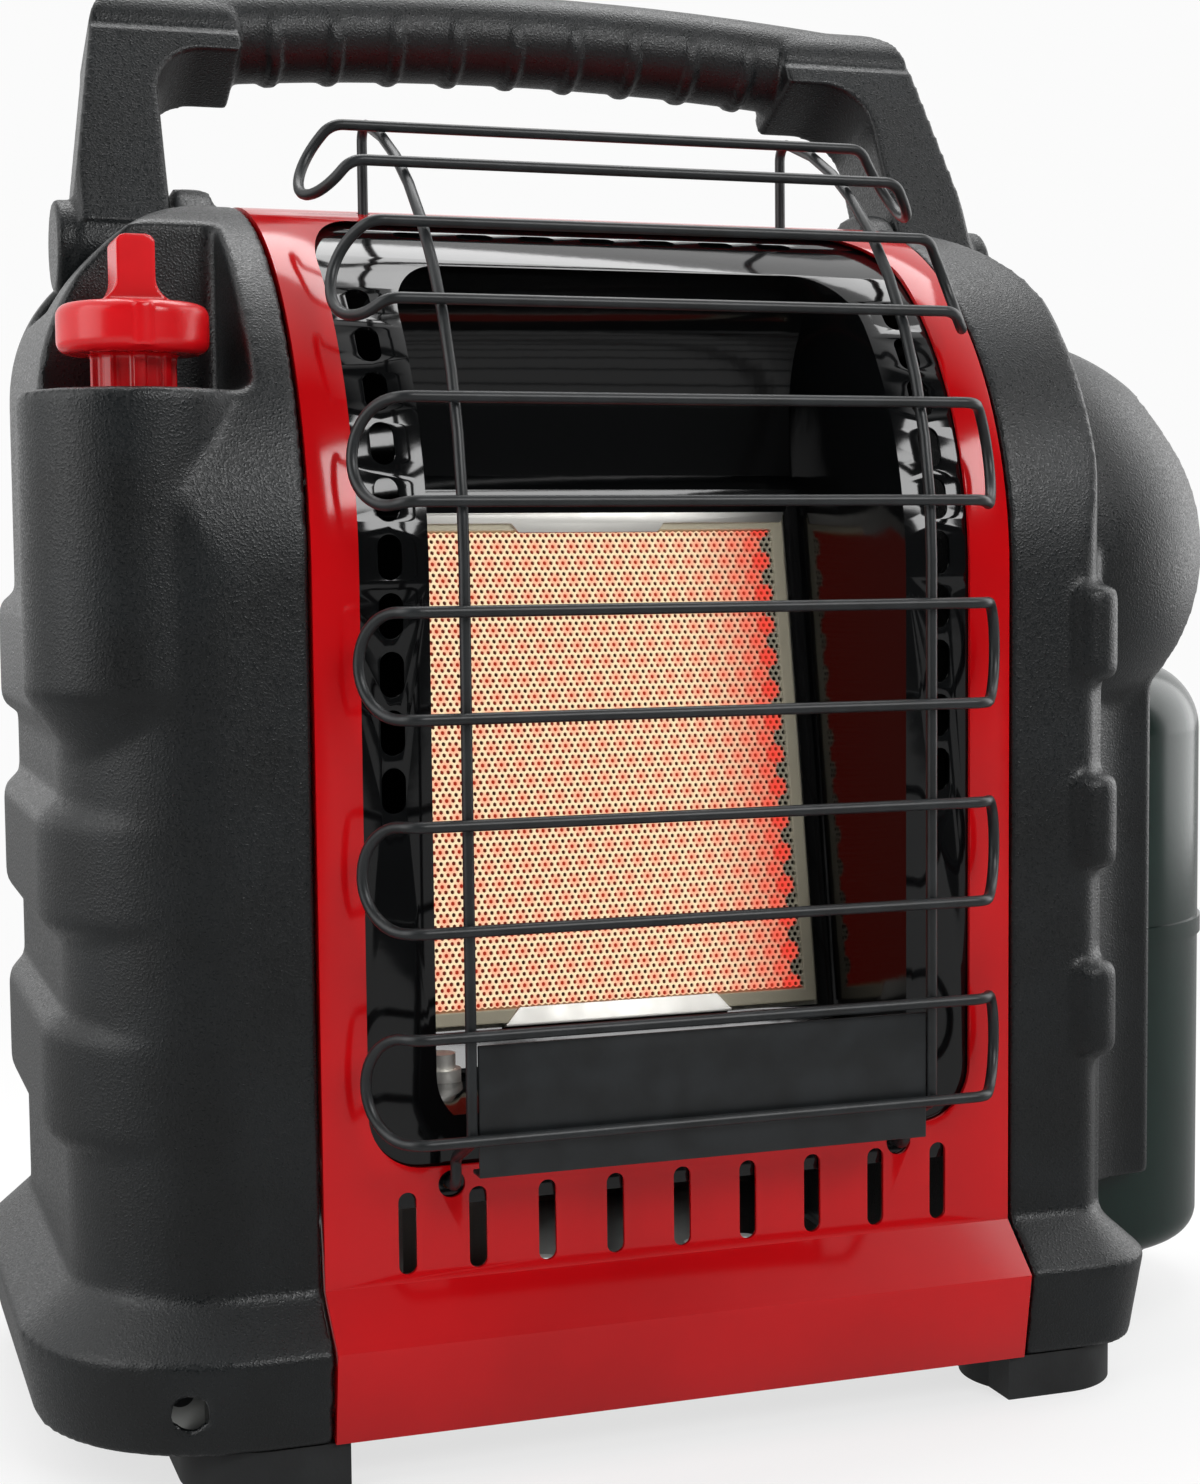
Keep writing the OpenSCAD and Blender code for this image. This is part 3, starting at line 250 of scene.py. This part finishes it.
def make_world():
    """Plain white behind the object, also in what it mirrors; the walls get dim to the front."""
    world = bpy.data.worlds.new("studio")
    bpy.context.scene.world = world
    world.use_nodes = True
    tree = world.node_tree
    tree.nodes.clear()
    ray = add(tree, "ShaderNodeLightPath")
    place = add(tree, "ShaderNodeTexCoord")
    way = add(tree, "ShaderNodeSeparateXYZ", {"Vector": (place, "Generated")})
    behind = add(tree, "ShaderNodeMapRange", {"Value": (way, "Y")},
                 From_Min=WALLS_DIM, From_Max=WALLS_BRIGHT)
    walls = add(tree, "ShaderNodeMapRange", {"Value": (behind, 0)},
                To_Min=FRONT_LIGHT, To_Max=SIDE_LIGHT)
    room = add(tree, "ShaderNodeBackground", {"Strength": (walls, 0)}, Color=linear("ffffff"))
    white = add(tree, "ShaderNodeBackground", Color=linear(BACKGROUND), Strength=1.0)
    seen = add(tree, "ShaderNodeMath",
               {0: (ray, "Is Camera Ray"), 1: (ray, "Is Transmission Ray")}, operation="MAXIMUM")
    mirrored = add(tree, "ShaderNodeMath", {0: (ray, "Is Glossy Ray"), 1: (behind, 0)},
                   operation="MULTIPLY")
    plain = add(tree, "ShaderNodeMath", {0: (seen, 0), 1: (mirrored, 0)}, operation="MAXIMUM")
    mix = add(tree, "ShaderNodeMixShader", {0: (plain, 0), 1: (room, 0), 2: (white, 0)})
    add(tree, "ShaderNodeOutputWorld", {"Surface": (mix, 0)})


make_camera()
make_floor()
make_world()
make_lamp("key_left", (-1.2, -0.35, 0.7), (0, 0, 0.17), (0.9, 1.2), 6)
make_lamp("overhead", (0.1, 0.3, 1.1), (0, 0, 0.2), (0.9, 0.4), 5)
make_lamp("side_right", (1.1, 0.1, 0.5), (0, 0, 0.2), (0.9, 1.2), 6)
make_lamp("front_soft", (0.5, -1.3, 1.0), (0, 0, 0.15), (0.9, 0.5), 11)
bpy.context.scene.view_settings.view_transform = "Standard"


# ---- Materials -------------------------------------------------------------


def start_finish(name, code, roughness, metallic=0.0, ior=1.5):
    """A new material with its shader set, and the node that gives the object's own coordinates."""
    material = bpy.data.materials.new(name)
    material.use_nodes = True
    tree = material.node_tree
    shader = tree.nodes["Principled BSDF"]
    shader.inputs["Base Color"].default_value = linear(code)
    shader.inputs["Roughness"].default_value = roughness
    shader.inputs["Metallic"].default_value = metallic
    if not metallic:
        shader.inputs["IOR"].default_value = ior
    place = add(tree, "ShaderNodeTexCoord")
    return material, tree, shader, place


def grain(tree, shader, place, size_mm, depth_mm, detail=2.0):
    """Fine relief whose grains are size_mm across and depth_mm deep."""
    noise = add(tree, "ShaderNodeTexNoise", {"Vector": (place, "Object")},
                Scale=1 / (size_mm * MM), Detail=detail)
    bump = add(tree, "ShaderNodeBump", {"Height": (noise, 0)}, Strength=1.0,
               Distance=depth_mm * MM)
    tree.links.new(bump.outputs[0], shader.inputs["Normal"])
    return noise


def mottle(tree, shader, place, light, dark, size_mm):
    """Soft colour variation between two close shades, in patches size_mm across."""
    noise = add(tree, "ShaderNodeTexNoise", {"Vector": (place, "Object")},
                Scale=1 / (size_mm * MM), Detail=3.0)
    ramp = add(tree, "ShaderNodeValToRGB", {"Fac": (noise, 0)})
    for stop, position, code in zip(ramp.color_ramp.elements, (0.35, 0.65), (dark, light)):
        stop.position = position
        stop.color = linear(code)
    tree.links.new(ramp.outputs[0], shader.inputs["Base Color"])


def red_stove_enamel():
    """Sprayed and baked gloss red on pressed sheet: wet-looking, with a faint orange peel."""
    material, tree, shader, place = start_finish("red_stove_enamel", "b8070e", 0.12)
    mottle(tree, shader, place, "bf0910", "b0060c", 60)
    grain(tree, shader, place, 4, 0.012)
    return material


def textured_polypropylene():
    """Charcoal moulding from a spark-eroded tool: fine pebble grain that sparkles in the light.

    The real grain is about a third of this size. It is drawn coarser so that it shows.
    """
    material, tree, shader, place = start_finish("textured_polypropylene", "0d1012", 0.36)
    mottle(tree, shader, place, "101416", "0a0d0e", 25)
    noise = grain(tree, shader, place, 0.6, 0.18)
    shine = add(tree, "ShaderNodeMapRange", {"Value": (noise, 0)},
                From_Min=0.35, From_Max=0.7, To_Min=0.5, To_Max=0.22)
    tree.links.new(shine.outputs[0], shader.inputs["Roughness"])
    return material


def vitreous_black_enamel():
    """Fired black glass enamel inside the burner chamber: deep black with sharp highlights."""
    material, tree, shader, place = start_finish("vitreous_black_enamel", "08090a", 0.09, ior=1.55)
    grain(tree, shader, place, 7, 0.03)
    return material


def heatproof_wire_coat():
    """Dark grey silicone coat on drawn wire: dull satin with slight mottling."""
    material, tree, shader, place = start_finish("heatproof_wire_coat", "1c1f20", 0.38)
    mottle(tree, shader, place, "202325", "181a1b", 9)
    grain(tree, shader, place, 1.2, 0.02)
    return material


def gloss_red_moulding():
    """Polished ABS knob: clean gloss red with soft highlights."""
    material, tree, shader, place = start_finish("gloss_red_moulding", "cf0f18", 0.24, ior=1.53)
    mottle(tree, shader, place, "d4121a", "c80c14", 20)
    grain(tree, shader, place, 3, 0.008)
    return material


def green_cylinder_paint():
    """Gloss dark green enamel on a drawn steel cylinder: smooth, nearly black in the shade."""
    material, tree, shader, place = start_finish("green_cylinder_paint", "061d17", 0.2)
    mottle(tree, shader, place, "08221c", "051914", 40)
    grain(tree, shader, place, 3, 0.01)
    return material


def satin_black_paint():
    """Satin black powder coat on the back panel: even, with a slight orange peel."""
    material, tree, shader, place = start_finish("satin_black_paint", "1c1e1f", 0.4)
    grain(tree, shader, place, 1.5, 0.03)
    return material


def moulded_rubber(name="moulded_rubber", code="191a1b"):
    """Moulded rubber: nearly black, dull, with a slight bloom."""
    material, tree, shader, place = start_finish(name, code, 0.68, ior=1.52)
    mottle(tree, shader, place, "202223", "141516", 12)
    grain(tree, shader, place, 0.9, 0.05)
    return material


def worked_metal(name, code, roughness, wear_mm):
    """Bare or plated metal with the uneven shine of its rolling, drawing or turning."""
    material, tree, shader, place = start_finish(name, code, roughness, metallic=1.0)
    noise = grain(tree, shader, place, wear_mm, 0.01)
    spread = add(tree, "ShaderNodeMapRange", {"Value": (noise, 0)},
                 To_Min=roughness - 0.08, To_Max=roughness + 0.12)
    tree.links.new(spread.outputs[0], shader.inputs["Roughness"])
    return material


def plain_moulding(name, code, roughness):
    """Small moulded or glazed fitting with a faint surface waviness."""
    material, tree, shader, place = start_finish(name, code, roughness)
    grain(tree, shader, place, 2.5, 0.01)
    return material


def ceramic_fibre():
    """Pressed ceramic-fibre strip: off-white, dead matt, felted."""
    material, tree, shader, place = start_finish("ceramic_fibre", "dcd8ca", 0.9)
    mottle(tree, shader, place, "e6e3d8", "cfcaba", 3)
    grain(tree, shader, place, 0.6, 0.12, 4.0)
    return material


def between(tree, share, low, high, output="Fac"):
    """Mixes two colours by an output of the node share; each is a hex code or a node's output."""
    mix = add(tree, "ShaderNodeMix", {"Factor": (share, output)}, data_type="RGBA")
    first, second, result = mix.inputs[6], mix.inputs[7], mix.outputs[2]
    for socket, value in ((first, low), (second, high)):
        if isinstance(value, str):
            socket.default_value = linear(value)
        else:
            tree.links.new(value, socket)
    return result


def glowing_ceramic():
    """Perforated ceramic at work: cream ridges, peach group centres, dark holes, a red right edge;
    in its unlit part the holes carry painted shade.

    Mirrors see a painted reflection: a fixed dull red in place of its glow, standing for the tile
    seen aslant, into its red-hot holes.
    """
    material, tree, shader, place = start_finish("glowing_ceramic", "d8cfb6", 0.85)
    grain(tree, shader, place, 0.5, 0.05, 3.0)
    group, hole, lit, edge = (add(tree, "ShaderNodeAttribute", attribute_name=name)
                              for name in ("group", "hole", "lit", "edge"))
    skin = between(tree, group, "ff9c7e", "ffecc0")
    hot = between(tree, group, "ff3a30", "e2483a")
    pit = between(tree, group, "b8301c", "2a0f08")
    glow = between(tree, hole, between(tree, edge, skin, hot), pit)
    ray = add(tree, "ShaderNodeLightPath")
    # Painted reflection: glossy rays see a fixed dull red instead of the tile's glow
    seen = between(tree, ray, glow, "8c1e10", "Is Glossy Ray")
    # Unlit part: cream ceramic, with painted shade, near black, down its holes
    cold_with_painted_hole_shade = between(tree, hole, "d2cab2", "1c1812")
    tree.links.new(between(tree, lit, cold_with_painted_hole_shade, "2c1812"), shader.inputs["Base Color"])
    tree.links.new(seen, shader.inputs["Emission Color"])
    tree.links.new(lit.outputs["Fac"], shader.inputs["Emission Strength"])
    return material


FINISHES = {
    "red_enamel": red_stove_enamel(),
    "cover_plastic": textured_polypropylene(),
    "back_enamel": satin_black_paint(),
    "zinc_sheet": worked_metal("zinc_plated_sheet", "b4b6b3", 0.34, 5),
    "chamber_enamel": vitreous_black_enamel(),
    "fibre": ceramic_fibre(),
    "bright_steel": worked_metal("bright_stainless_strip", "f6f4ee", 0.5, 6),
    "burner_steel": worked_metal("aluminised_sheet", "9fa1a2", 0.42, 4),
    "guard_wire": heatproof_wire_coat(),
    "pin_steel": worked_metal("plated_turned_steel", "c3c4c5", 0.25, 2),
    "knob_plastic": gloss_red_moulding(),
    "brass": worked_metal("turned_brass", "c9a052", 0.26, 2),
    "spring_steel": worked_metal("plated_spring_wire", "a9aaab", 0.3, 1),
    "igniter_case": plain_moulding("black_nylon", "141516", 0.35),
    "lead_sleeve": plain_moulding("red_silicone_sleeve", "8d1a1c", 0.5),
    "copper": worked_metal("drawn_copper", "c77f5a", 0.3, 2),
    "white_ceramic": plain_moulding("glazed_steatite", "e7e4da", 0.18),
    "tube_steel": worked_metal("drawn_aluminium_tube", "c9cacc", 0.3, 3),
    "hose_rubber": moulded_rubber("extruded_hose_rubber", "1a1b1c"),
    "regulator_zinc": worked_metal("die_cast_zinc", "6f7274", 0.45, 2),
    "cap_steel": worked_metal("pressed_plated_steel", "b9babb", 0.28, 4),
    "seal_rubber": moulded_rubber("nitrile_ring", "101112"),
    "switch_plastic": plain_moulding("white_polyamide", "dedcd6", 0.4),
    "foot_rubber": moulded_rubber(),
    "screw_zinc": worked_metal("blackened_screw", "3c3d3e", 0.4, 1),
    "tank_paint": green_cylinder_paint(),
}
FINISHES["handle_plastic"] = FINISHES["cover_plastic"]
FINISHES["tile_ceramic"] = glowing_ceramic()

for node, slot in SLOT_OF.items():
    mesh = NODES[node].data
    mesh.materials.clear()
    mesh.materials.append(FINISHES[slot])


# ---- Modelling helpers -----------------------------------------------------


def only(piece):
    """Leaves object mode's selection with this piece alone."""
    bpy.ops.object.select_all(action="DESELECT")
    piece.select_set(True)
    bpy.context.view_layer.objects.active = piece


def apply_modifier(piece, kind, **settings):
    """Adds a modifier with these settings and applies it."""
    only(piece)
    modifier = piece.modifiers.new(kind.lower(), kind)
    for key, value in settings.items():
        setattr(modifier, key, value)
    bpy.ops.object.modifier_apply(modifier=modifier.name)


def edit(piece):
    """Opens this piece alone in edit mode, all of it selected."""
    only(piece)
    bpy.ops.object.mode_set(mode="EDIT")
    bpy.ops.mesh.select_all(action="SELECT")


def close_edit(merge=MERGE, outward=False):
    """Merges doubles, turns faces outwards if asked, and leaves edit mode."""
    bpy.ops.mesh.select_all(action="SELECT")
    bpy.ops.mesh.remove_doubles(threshold=merge)
    if outward:
        bpy.ops.mesh.normals_make_consistent(inside=False)
    bpy.ops.object.mode_set(mode="OBJECT")


def place_in(piece, name, nodes):
    """Names a finished piece, gives it its finish and makes it stand for these CAD nodes."""
    node = nodes[0]
    piece.name = piece.data.name = name
    piece.data.materials.clear()
    piece.data.materials.append(FINISHES[SLOT_OF[node]])
    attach(piece, BODY_OF[node])
    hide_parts(*nodes)


def copy_of(node):
    """A copy of a CAD node, its loose triangles merged into closed skins."""
    piece = bpy.data.objects.new(node + "_look", NODES[node].data.copy())
    bpy.context.scene.collection.objects.link(piece)
    edit(piece)
    close_edit()
    return piece


def smooth_by_angle(piece, angle):
    """Shades the piece smooth, but for edges sharper than this angle."""
    only(piece)
    bpy.ops.object.shade_smooth_by_angle(angle=math.radians(angle))


def softened(node, width):
    """Sheet or turned part: the same shape with its sharp edges rounded to width millimetres."""
    piece = copy_of(node)
    edit(piece)
    bpy.ops.mesh.dissolve_limited(angle_limit=math.radians(FLAT_ANGLE))
    bpy.ops.object.mode_set(mode="OBJECT")
    apply_modifier(piece, "BEVEL", width=width * MM, segments=2, limit_method="ANGLE",
                   angle_limit=math.radians(EDGE_ANGLE), harden_normals=False,
                   miter_outer="MITER_ARC")
    smooth_by_angle(piece, SMOOTH_SHEET)
    place_in(piece, node + "_soft", [node])


def moulded(node, voxel, rounds):
    """Moulded part: skinned again in small even faces, then eased so that its corners run out."""
    piece = copy_of(node)
    apply_modifier(piece, "REMESH", mode="VOXEL", voxel_size=voxel * MM)
    apply_modifier(piece, "SMOOTH", factor=0.5, iterations=rounds)
    smooth_by_angle(piece, SMOOTH_MOULDED)
    place_in(piece, node + "_moulded", [node])


def wire(points, radii):
    """Guard wire in straight runs, with a bend of the given radius at each inner point.

    Points and radii are in millimetres. The wire is left open, in edit mode.
    """
    points = [Vector(p) * MM for p in points]
    way = [(b - a).normalized() for a, b in zip(points, points[1:])]
    turns = [a.angle(b) for a, b in zip(way, way[1:])]
    cuts = [0] + [r * MM * math.tan(t / 2) for r, t in zip(radii, turns)] + [0]
    bpy.ops.object.select_all(action="DESELECT")
    bpy.ops.mesh.primitive_circle_add(vertices=WIRE_SIDES, radius=WIRE_R * MM, location=points[0],
                                      rotation=way[0].to_track_quat("Z", "Y").to_euler())
    piece = bpy.context.object
    bpy.ops.object.transform_apply(location=True, rotation=True, scale=True)
    edit(piece)
    for i, step in enumerate(way):
        run = points[i + 1] - points[i] - step * (cuts[i] + cuts[i + 1])
        if run.length > SHORTEST_RUN:
            bpy.ops.mesh.extrude_region_move(TRANSFORM_OT_translate={"value": run})
        if i < len(turns):
            axis = step.cross(way[i + 1]).normalized()
            inward = axis.cross(step)
            centre = points[i + 1] - step * cuts[i + 1] + inward * radii[i] * MM
            steps = max(3, round(math.degrees(turns[i]) / BEND_STEP))
            bpy.ops.mesh.spin(steps=steps, angle=turns[i], center=centre, axis=-axis)
    return piece


def capped(piece):
    """Closes both ends of a wire that is still in edit mode."""
    bpy.ops.mesh.select_all(action="SELECT")
    bpy.ops.mesh.remove_doubles(threshold=MERGE_END)
    bpy.ops.mesh.select_all(action="DESELECT")
    bpy.ops.mesh.select_non_manifold(extend=False)
    bpy.ops.mesh.fill_holes(sides=0)
    close_edit(MERGE_END, outward=True)
    smooth_by_angle(piece, SMOOTH_WIRE)


# ---- Wire guard ------------------------------------------------------------


def guard_loop():
    """One loop, flat in the sheet that it is bent in: half of it is drawn, then mirrored."""
    tilt = math.radians(LOOP_TILT)
    corner = LOOP_FLAT + LOOP_BEND * math.tan(tilt / 2)
    rest = (LOOP_REACH - WIRE_R - corner) / math.cos(tilt)
    tip = (corner + rest * math.cos(tilt), rest * math.sin(tilt))
    half = [(0, 0, LOOP_HALF), (corner, 0, LOOP_HALF), (*tip, LOOP_HALF),
            (*tip, -LOOP_HALF), (corner, 0, -LOOP_HALF), (0, 0, -LOOP_HALF)]
    piece = wire(half, [LOOP_BEND, LOOP_HALF, LOOP_HALF, LOOP_BEND])
    bpy.ops.object.mode_set(mode="OBJECT")
    apply_modifier(piece, "MIRROR", use_axis=(True, False, False), merge_threshold=MERGE)
    edit(piece)
    close_edit(outward=True)
    smooth_by_angle(piece, SMOOTH_WIRE)
    return piece


def on_shoulder(along, radius):
    """Place on the guard's path, so far along it from the floor."""
    angle = max(0, (along - GUARD_BEND_Z) / GUARD_R)
    centre = Matrix.Translation(Vector((0, ARCH_Y, GUARD_BEND_Z)) * MM)
    out = Matrix.Translation(Vector((0, -radius, min(0, along - GUARD_BEND_Z))) * MM)
    return centre @ Matrix.Rotation(-angle, 4, "X") @ out


def make_loops():
    """Six copies of one loop, each halfway between its two rods' heights on the guard's path."""
    pattern = guard_loop()
    for i in range(LOOPS):
        along = ROD_START + ROD_PITCH * (2 * i + 0.5)
        weld = WELD_ON_CURVE if along > GUARD_BEND_Z else WELD_ON_STRAIGHT
        loop = pattern.copy()
        loop.data = pattern.data.copy()
        bpy.context.scene.collection.objects.link(loop)
        loop.data.transform(on_shoulder(along, GUARD_R + 2 * WIRE_R - weld))
        place_in(loop, f"bent_loop_{i + 1}", [f"guard_loop_{i + 1}"])
    bpy.data.objects.remove(pattern)


def make_uprights():
    """Two wires from the panel's foot holes up the front, over the shoulder and down behind it."""
    end = math.radians(GUARD_END)
    peak = GUARD_BEND_Z + GUARD_R * math.tan(end / 2)
    reach = GUARD_R * math.tan(end / 2) + TAIL_LENGTH
    tail_y = GUARD_Y + reach * math.sin(end)
    tail_z = peak + reach * math.cos(end)
    for side, x in (("left", -UPRIGHT_X), ("right", UPRIGHT_X)):
        route = [(x, FRONT_Y + FOOT_INSIDE, FOOT_HOLE_Z), (x, STEP_Y, FOOT_HOLE_Z),
                 (x, STEP_Y, FOOT_HOLE_Z + STEP_RISE), (x, GUARD_Y, STEP_TOP_Z),
                 (x, GUARD_Y, peak), (x, tail_y, tail_z), (x, tail_y, TAIL_Z)]
        upright = wire(route, [STEP_BEND, STEP_BEND, STEP_BEND, GUARD_R, TAIL_BEND])
        capped(upright)
        place_in(upright, f"bent_upright_{side}", [f"guard_upright_{side}"])


# ---- Burner tile -----------------------------------------------------------


def on_tile():
    """From the tile's own axes, with its lower front edge as X, to its leaning place."""
    place = Matrix.Translation(Vector((0, TILE_Y, TILE_Z)) * MM)
    return place @ Matrix.Rotation(-math.radians(TILE_LEAN), 4, "X")


def hole_cell(x, z):
    """One six-sided cell of the tile's face with its hole, in the open mesh."""
    rim = HOLE_PITCH / math.sqrt(3)
    bpy.ops.mesh.select_all(action="DESELECT")
    bpy.ops.mesh.primitive_circle_add(vertices=CELL_SIDES, radius=rim * MM, fill_type="NGON",
                                      location=(x * MM, 0, z * MM), rotation=(math.pi / 2, 0, 0))
    bpy.ops.mesh.inset(thickness=(HOLE_PITCH / 2 - HOLE_R) * MM)
    bpy.ops.mesh.extrude_region_move(TRANSFORM_OT_translate={"value": (0, HOLE_DEPTH * MM, 0)})


def paint_field(field, left, low, wide, tall):
    """Dishes the groups and marks each point for the glow.

    The marks are how far out in its group a point is, whether it is down a hole, whether its
    group is lit, and how red-hot the group is.
    """
    names = ("group", "hole", "lit", "edge")
    for name in names:
        field.data.attributes.new(name, "FLOAT", "POINT")
    marks = {name: field.data.attributes[name].data for name in names}
    for vertex in field.data.vertices:
        x, y, z = vertex.co / MM
        across, up = (x - left) / wide, (z - low) / tall
        middles = [(round(across), round(up)), (math.floor(across) + 0.5, math.floor(up) + 0.5)]
        gap, i = min((math.hypot((across - i) * wide, (up - j) * tall), i) for i, j in middles)
        centre = left + i * wide
        group = min(1, gap / (GROUP_PITCH / 2))
        hot = (centre - HOT_FROM) / (LIT_TO - HOT_FROM)
        marks["group"][vertex.index].value = group
        marks["hole"][vertex.index].value = float(y > FIELD_FACE + HOLE_DEPTH / 2)
        marks["lit"][vertex.index].value = float(centre < LIT_TO)
        marks["edge"][vertex.index].value = max(0, min(1, hot)) ** 2
        vertex.co.y += GROUP_DEPTH * MM * (0.5 + 0.5 * math.cos(math.pi * group))


def tile_field():
    """The tile's face of holes: one group is modelled, then repeated across and up."""
    row = HOLE_PITCH * math.sqrt(3) / 2
    bpy.ops.object.select_all(action="DESELECT")
    bpy.ops.mesh.primitive_circle_add(vertices=CELL_SIDES, radius=MM)
    field = bpy.context.object
    edit(field)
    bpy.ops.mesh.delete(type="VERT")
    for j in range(GROUP_ROWS):
        for i in range(GROUP_COLUMNS):
            hole_cell((i + (j % 2) / 2) * HOLE_PITCH, j * row)
    close_edit(MERGE_CELLS)
    bpy.ops.object.shade_flat()
    wide, tall = GROUP_PITCH, GROUP_ROWS * row
    for offset, count in (((wide, 0, 0), GROUPS_ACROSS), ((0, 0, tall), GROUPS_UP)):
        apply_modifier(field, "ARRAY", count=count, use_relative_offset=False,
                       use_constant_offset=True, constant_offset_displace=Vector(offset) * MM,
                       use_merge_vertices=True, merge_threshold=MERGE_CELLS)
    left = -wide * GROUPS_ACROSS / 2 + HOLE_PITCH / 4
    low = (TILE_H - tall * GROUPS_UP) / 2 + row / 2
    field.data.transform(Matrix.Translation(Vector((left, FIELD_FACE, low)) * MM))
    paint_field(field, left, low, wide, tall)
    return field


def tile_block():
    """The tile's body: a block with rounded edges, its front sunk to make room for the holes."""
    bpy.ops.object.select_all(action="DESELECT")
    bpy.ops.mesh.primitive_cube_add(size=1, location=(0, 0, 0))
    block = bpy.context.object
    size = (TILE_W, TILE_BACK - TILE_FACE, TILE_H)
    middle = (0, (TILE_FACE + TILE_BACK) / 2, TILE_H / 2)
    block.data.transform(Matrix.Diagonal((*(s * MM for s in size), 1)))
    block.data.transform(Matrix.Translation(Vector(middle) * MM))
    edit(block)
    bpy.ops.mesh.select_all(action="DESELECT")
    bpy.ops.object.mode_set(mode="OBJECT")
    for face in block.data.polygons:
        face.select = face.normal.y < -0.5
    bpy.ops.object.mode_set(mode="EDIT")
    rim = (TILE_W - GROUP_PITCH * GROUPS_ACROSS) / 2 + RIM_UNDER_FIELD
    pocket = HOLE_DEPTH + GROUP_DEPTH + POCKET_SPARE
    bpy.ops.mesh.inset(thickness=rim * MM)
    bpy.ops.mesh.extrude_region_move(TRANSFORM_OT_translate={"value": (0, pocket * MM, 0)})
    bpy.ops.object.mode_set(mode="OBJECT")
    apply_modifier(block, "BEVEL", width=TILE_EDGE * MM, segments=2, limit_method="ANGLE")
    return block


def make_tile():
    """Field and block as one piece, leaning in the chamber."""
    field = tile_field()
    block = tile_block()
    only(field)
    block.select_set(True)
    bpy.ops.object.join()
    field.data.transform(on_tile())
    place_in(field, "perforated_tile", ["burner_tile"])


# ---- Knob spring -----------------------------------------------------------


def make_spring():
    """The knob's spring, shaded smooth and given a mesh of its own; nothing here shortens it as the
    knob is pressed.
    """
    spring = copy_of("knob_spring")
    smooth_by_angle(spring, SMOOTH_WIRE)
    place_in(spring, "pressed_spring", ["knob_spring"])
    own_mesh(spring)


make_loops()
make_uprights()
make_tile()
make_spring()
for node, width in ROUNDED.items():
    softened(node, width)
for node, (voxel, rounds) in EASED.items():
    moulded(node, voxel, rounds)
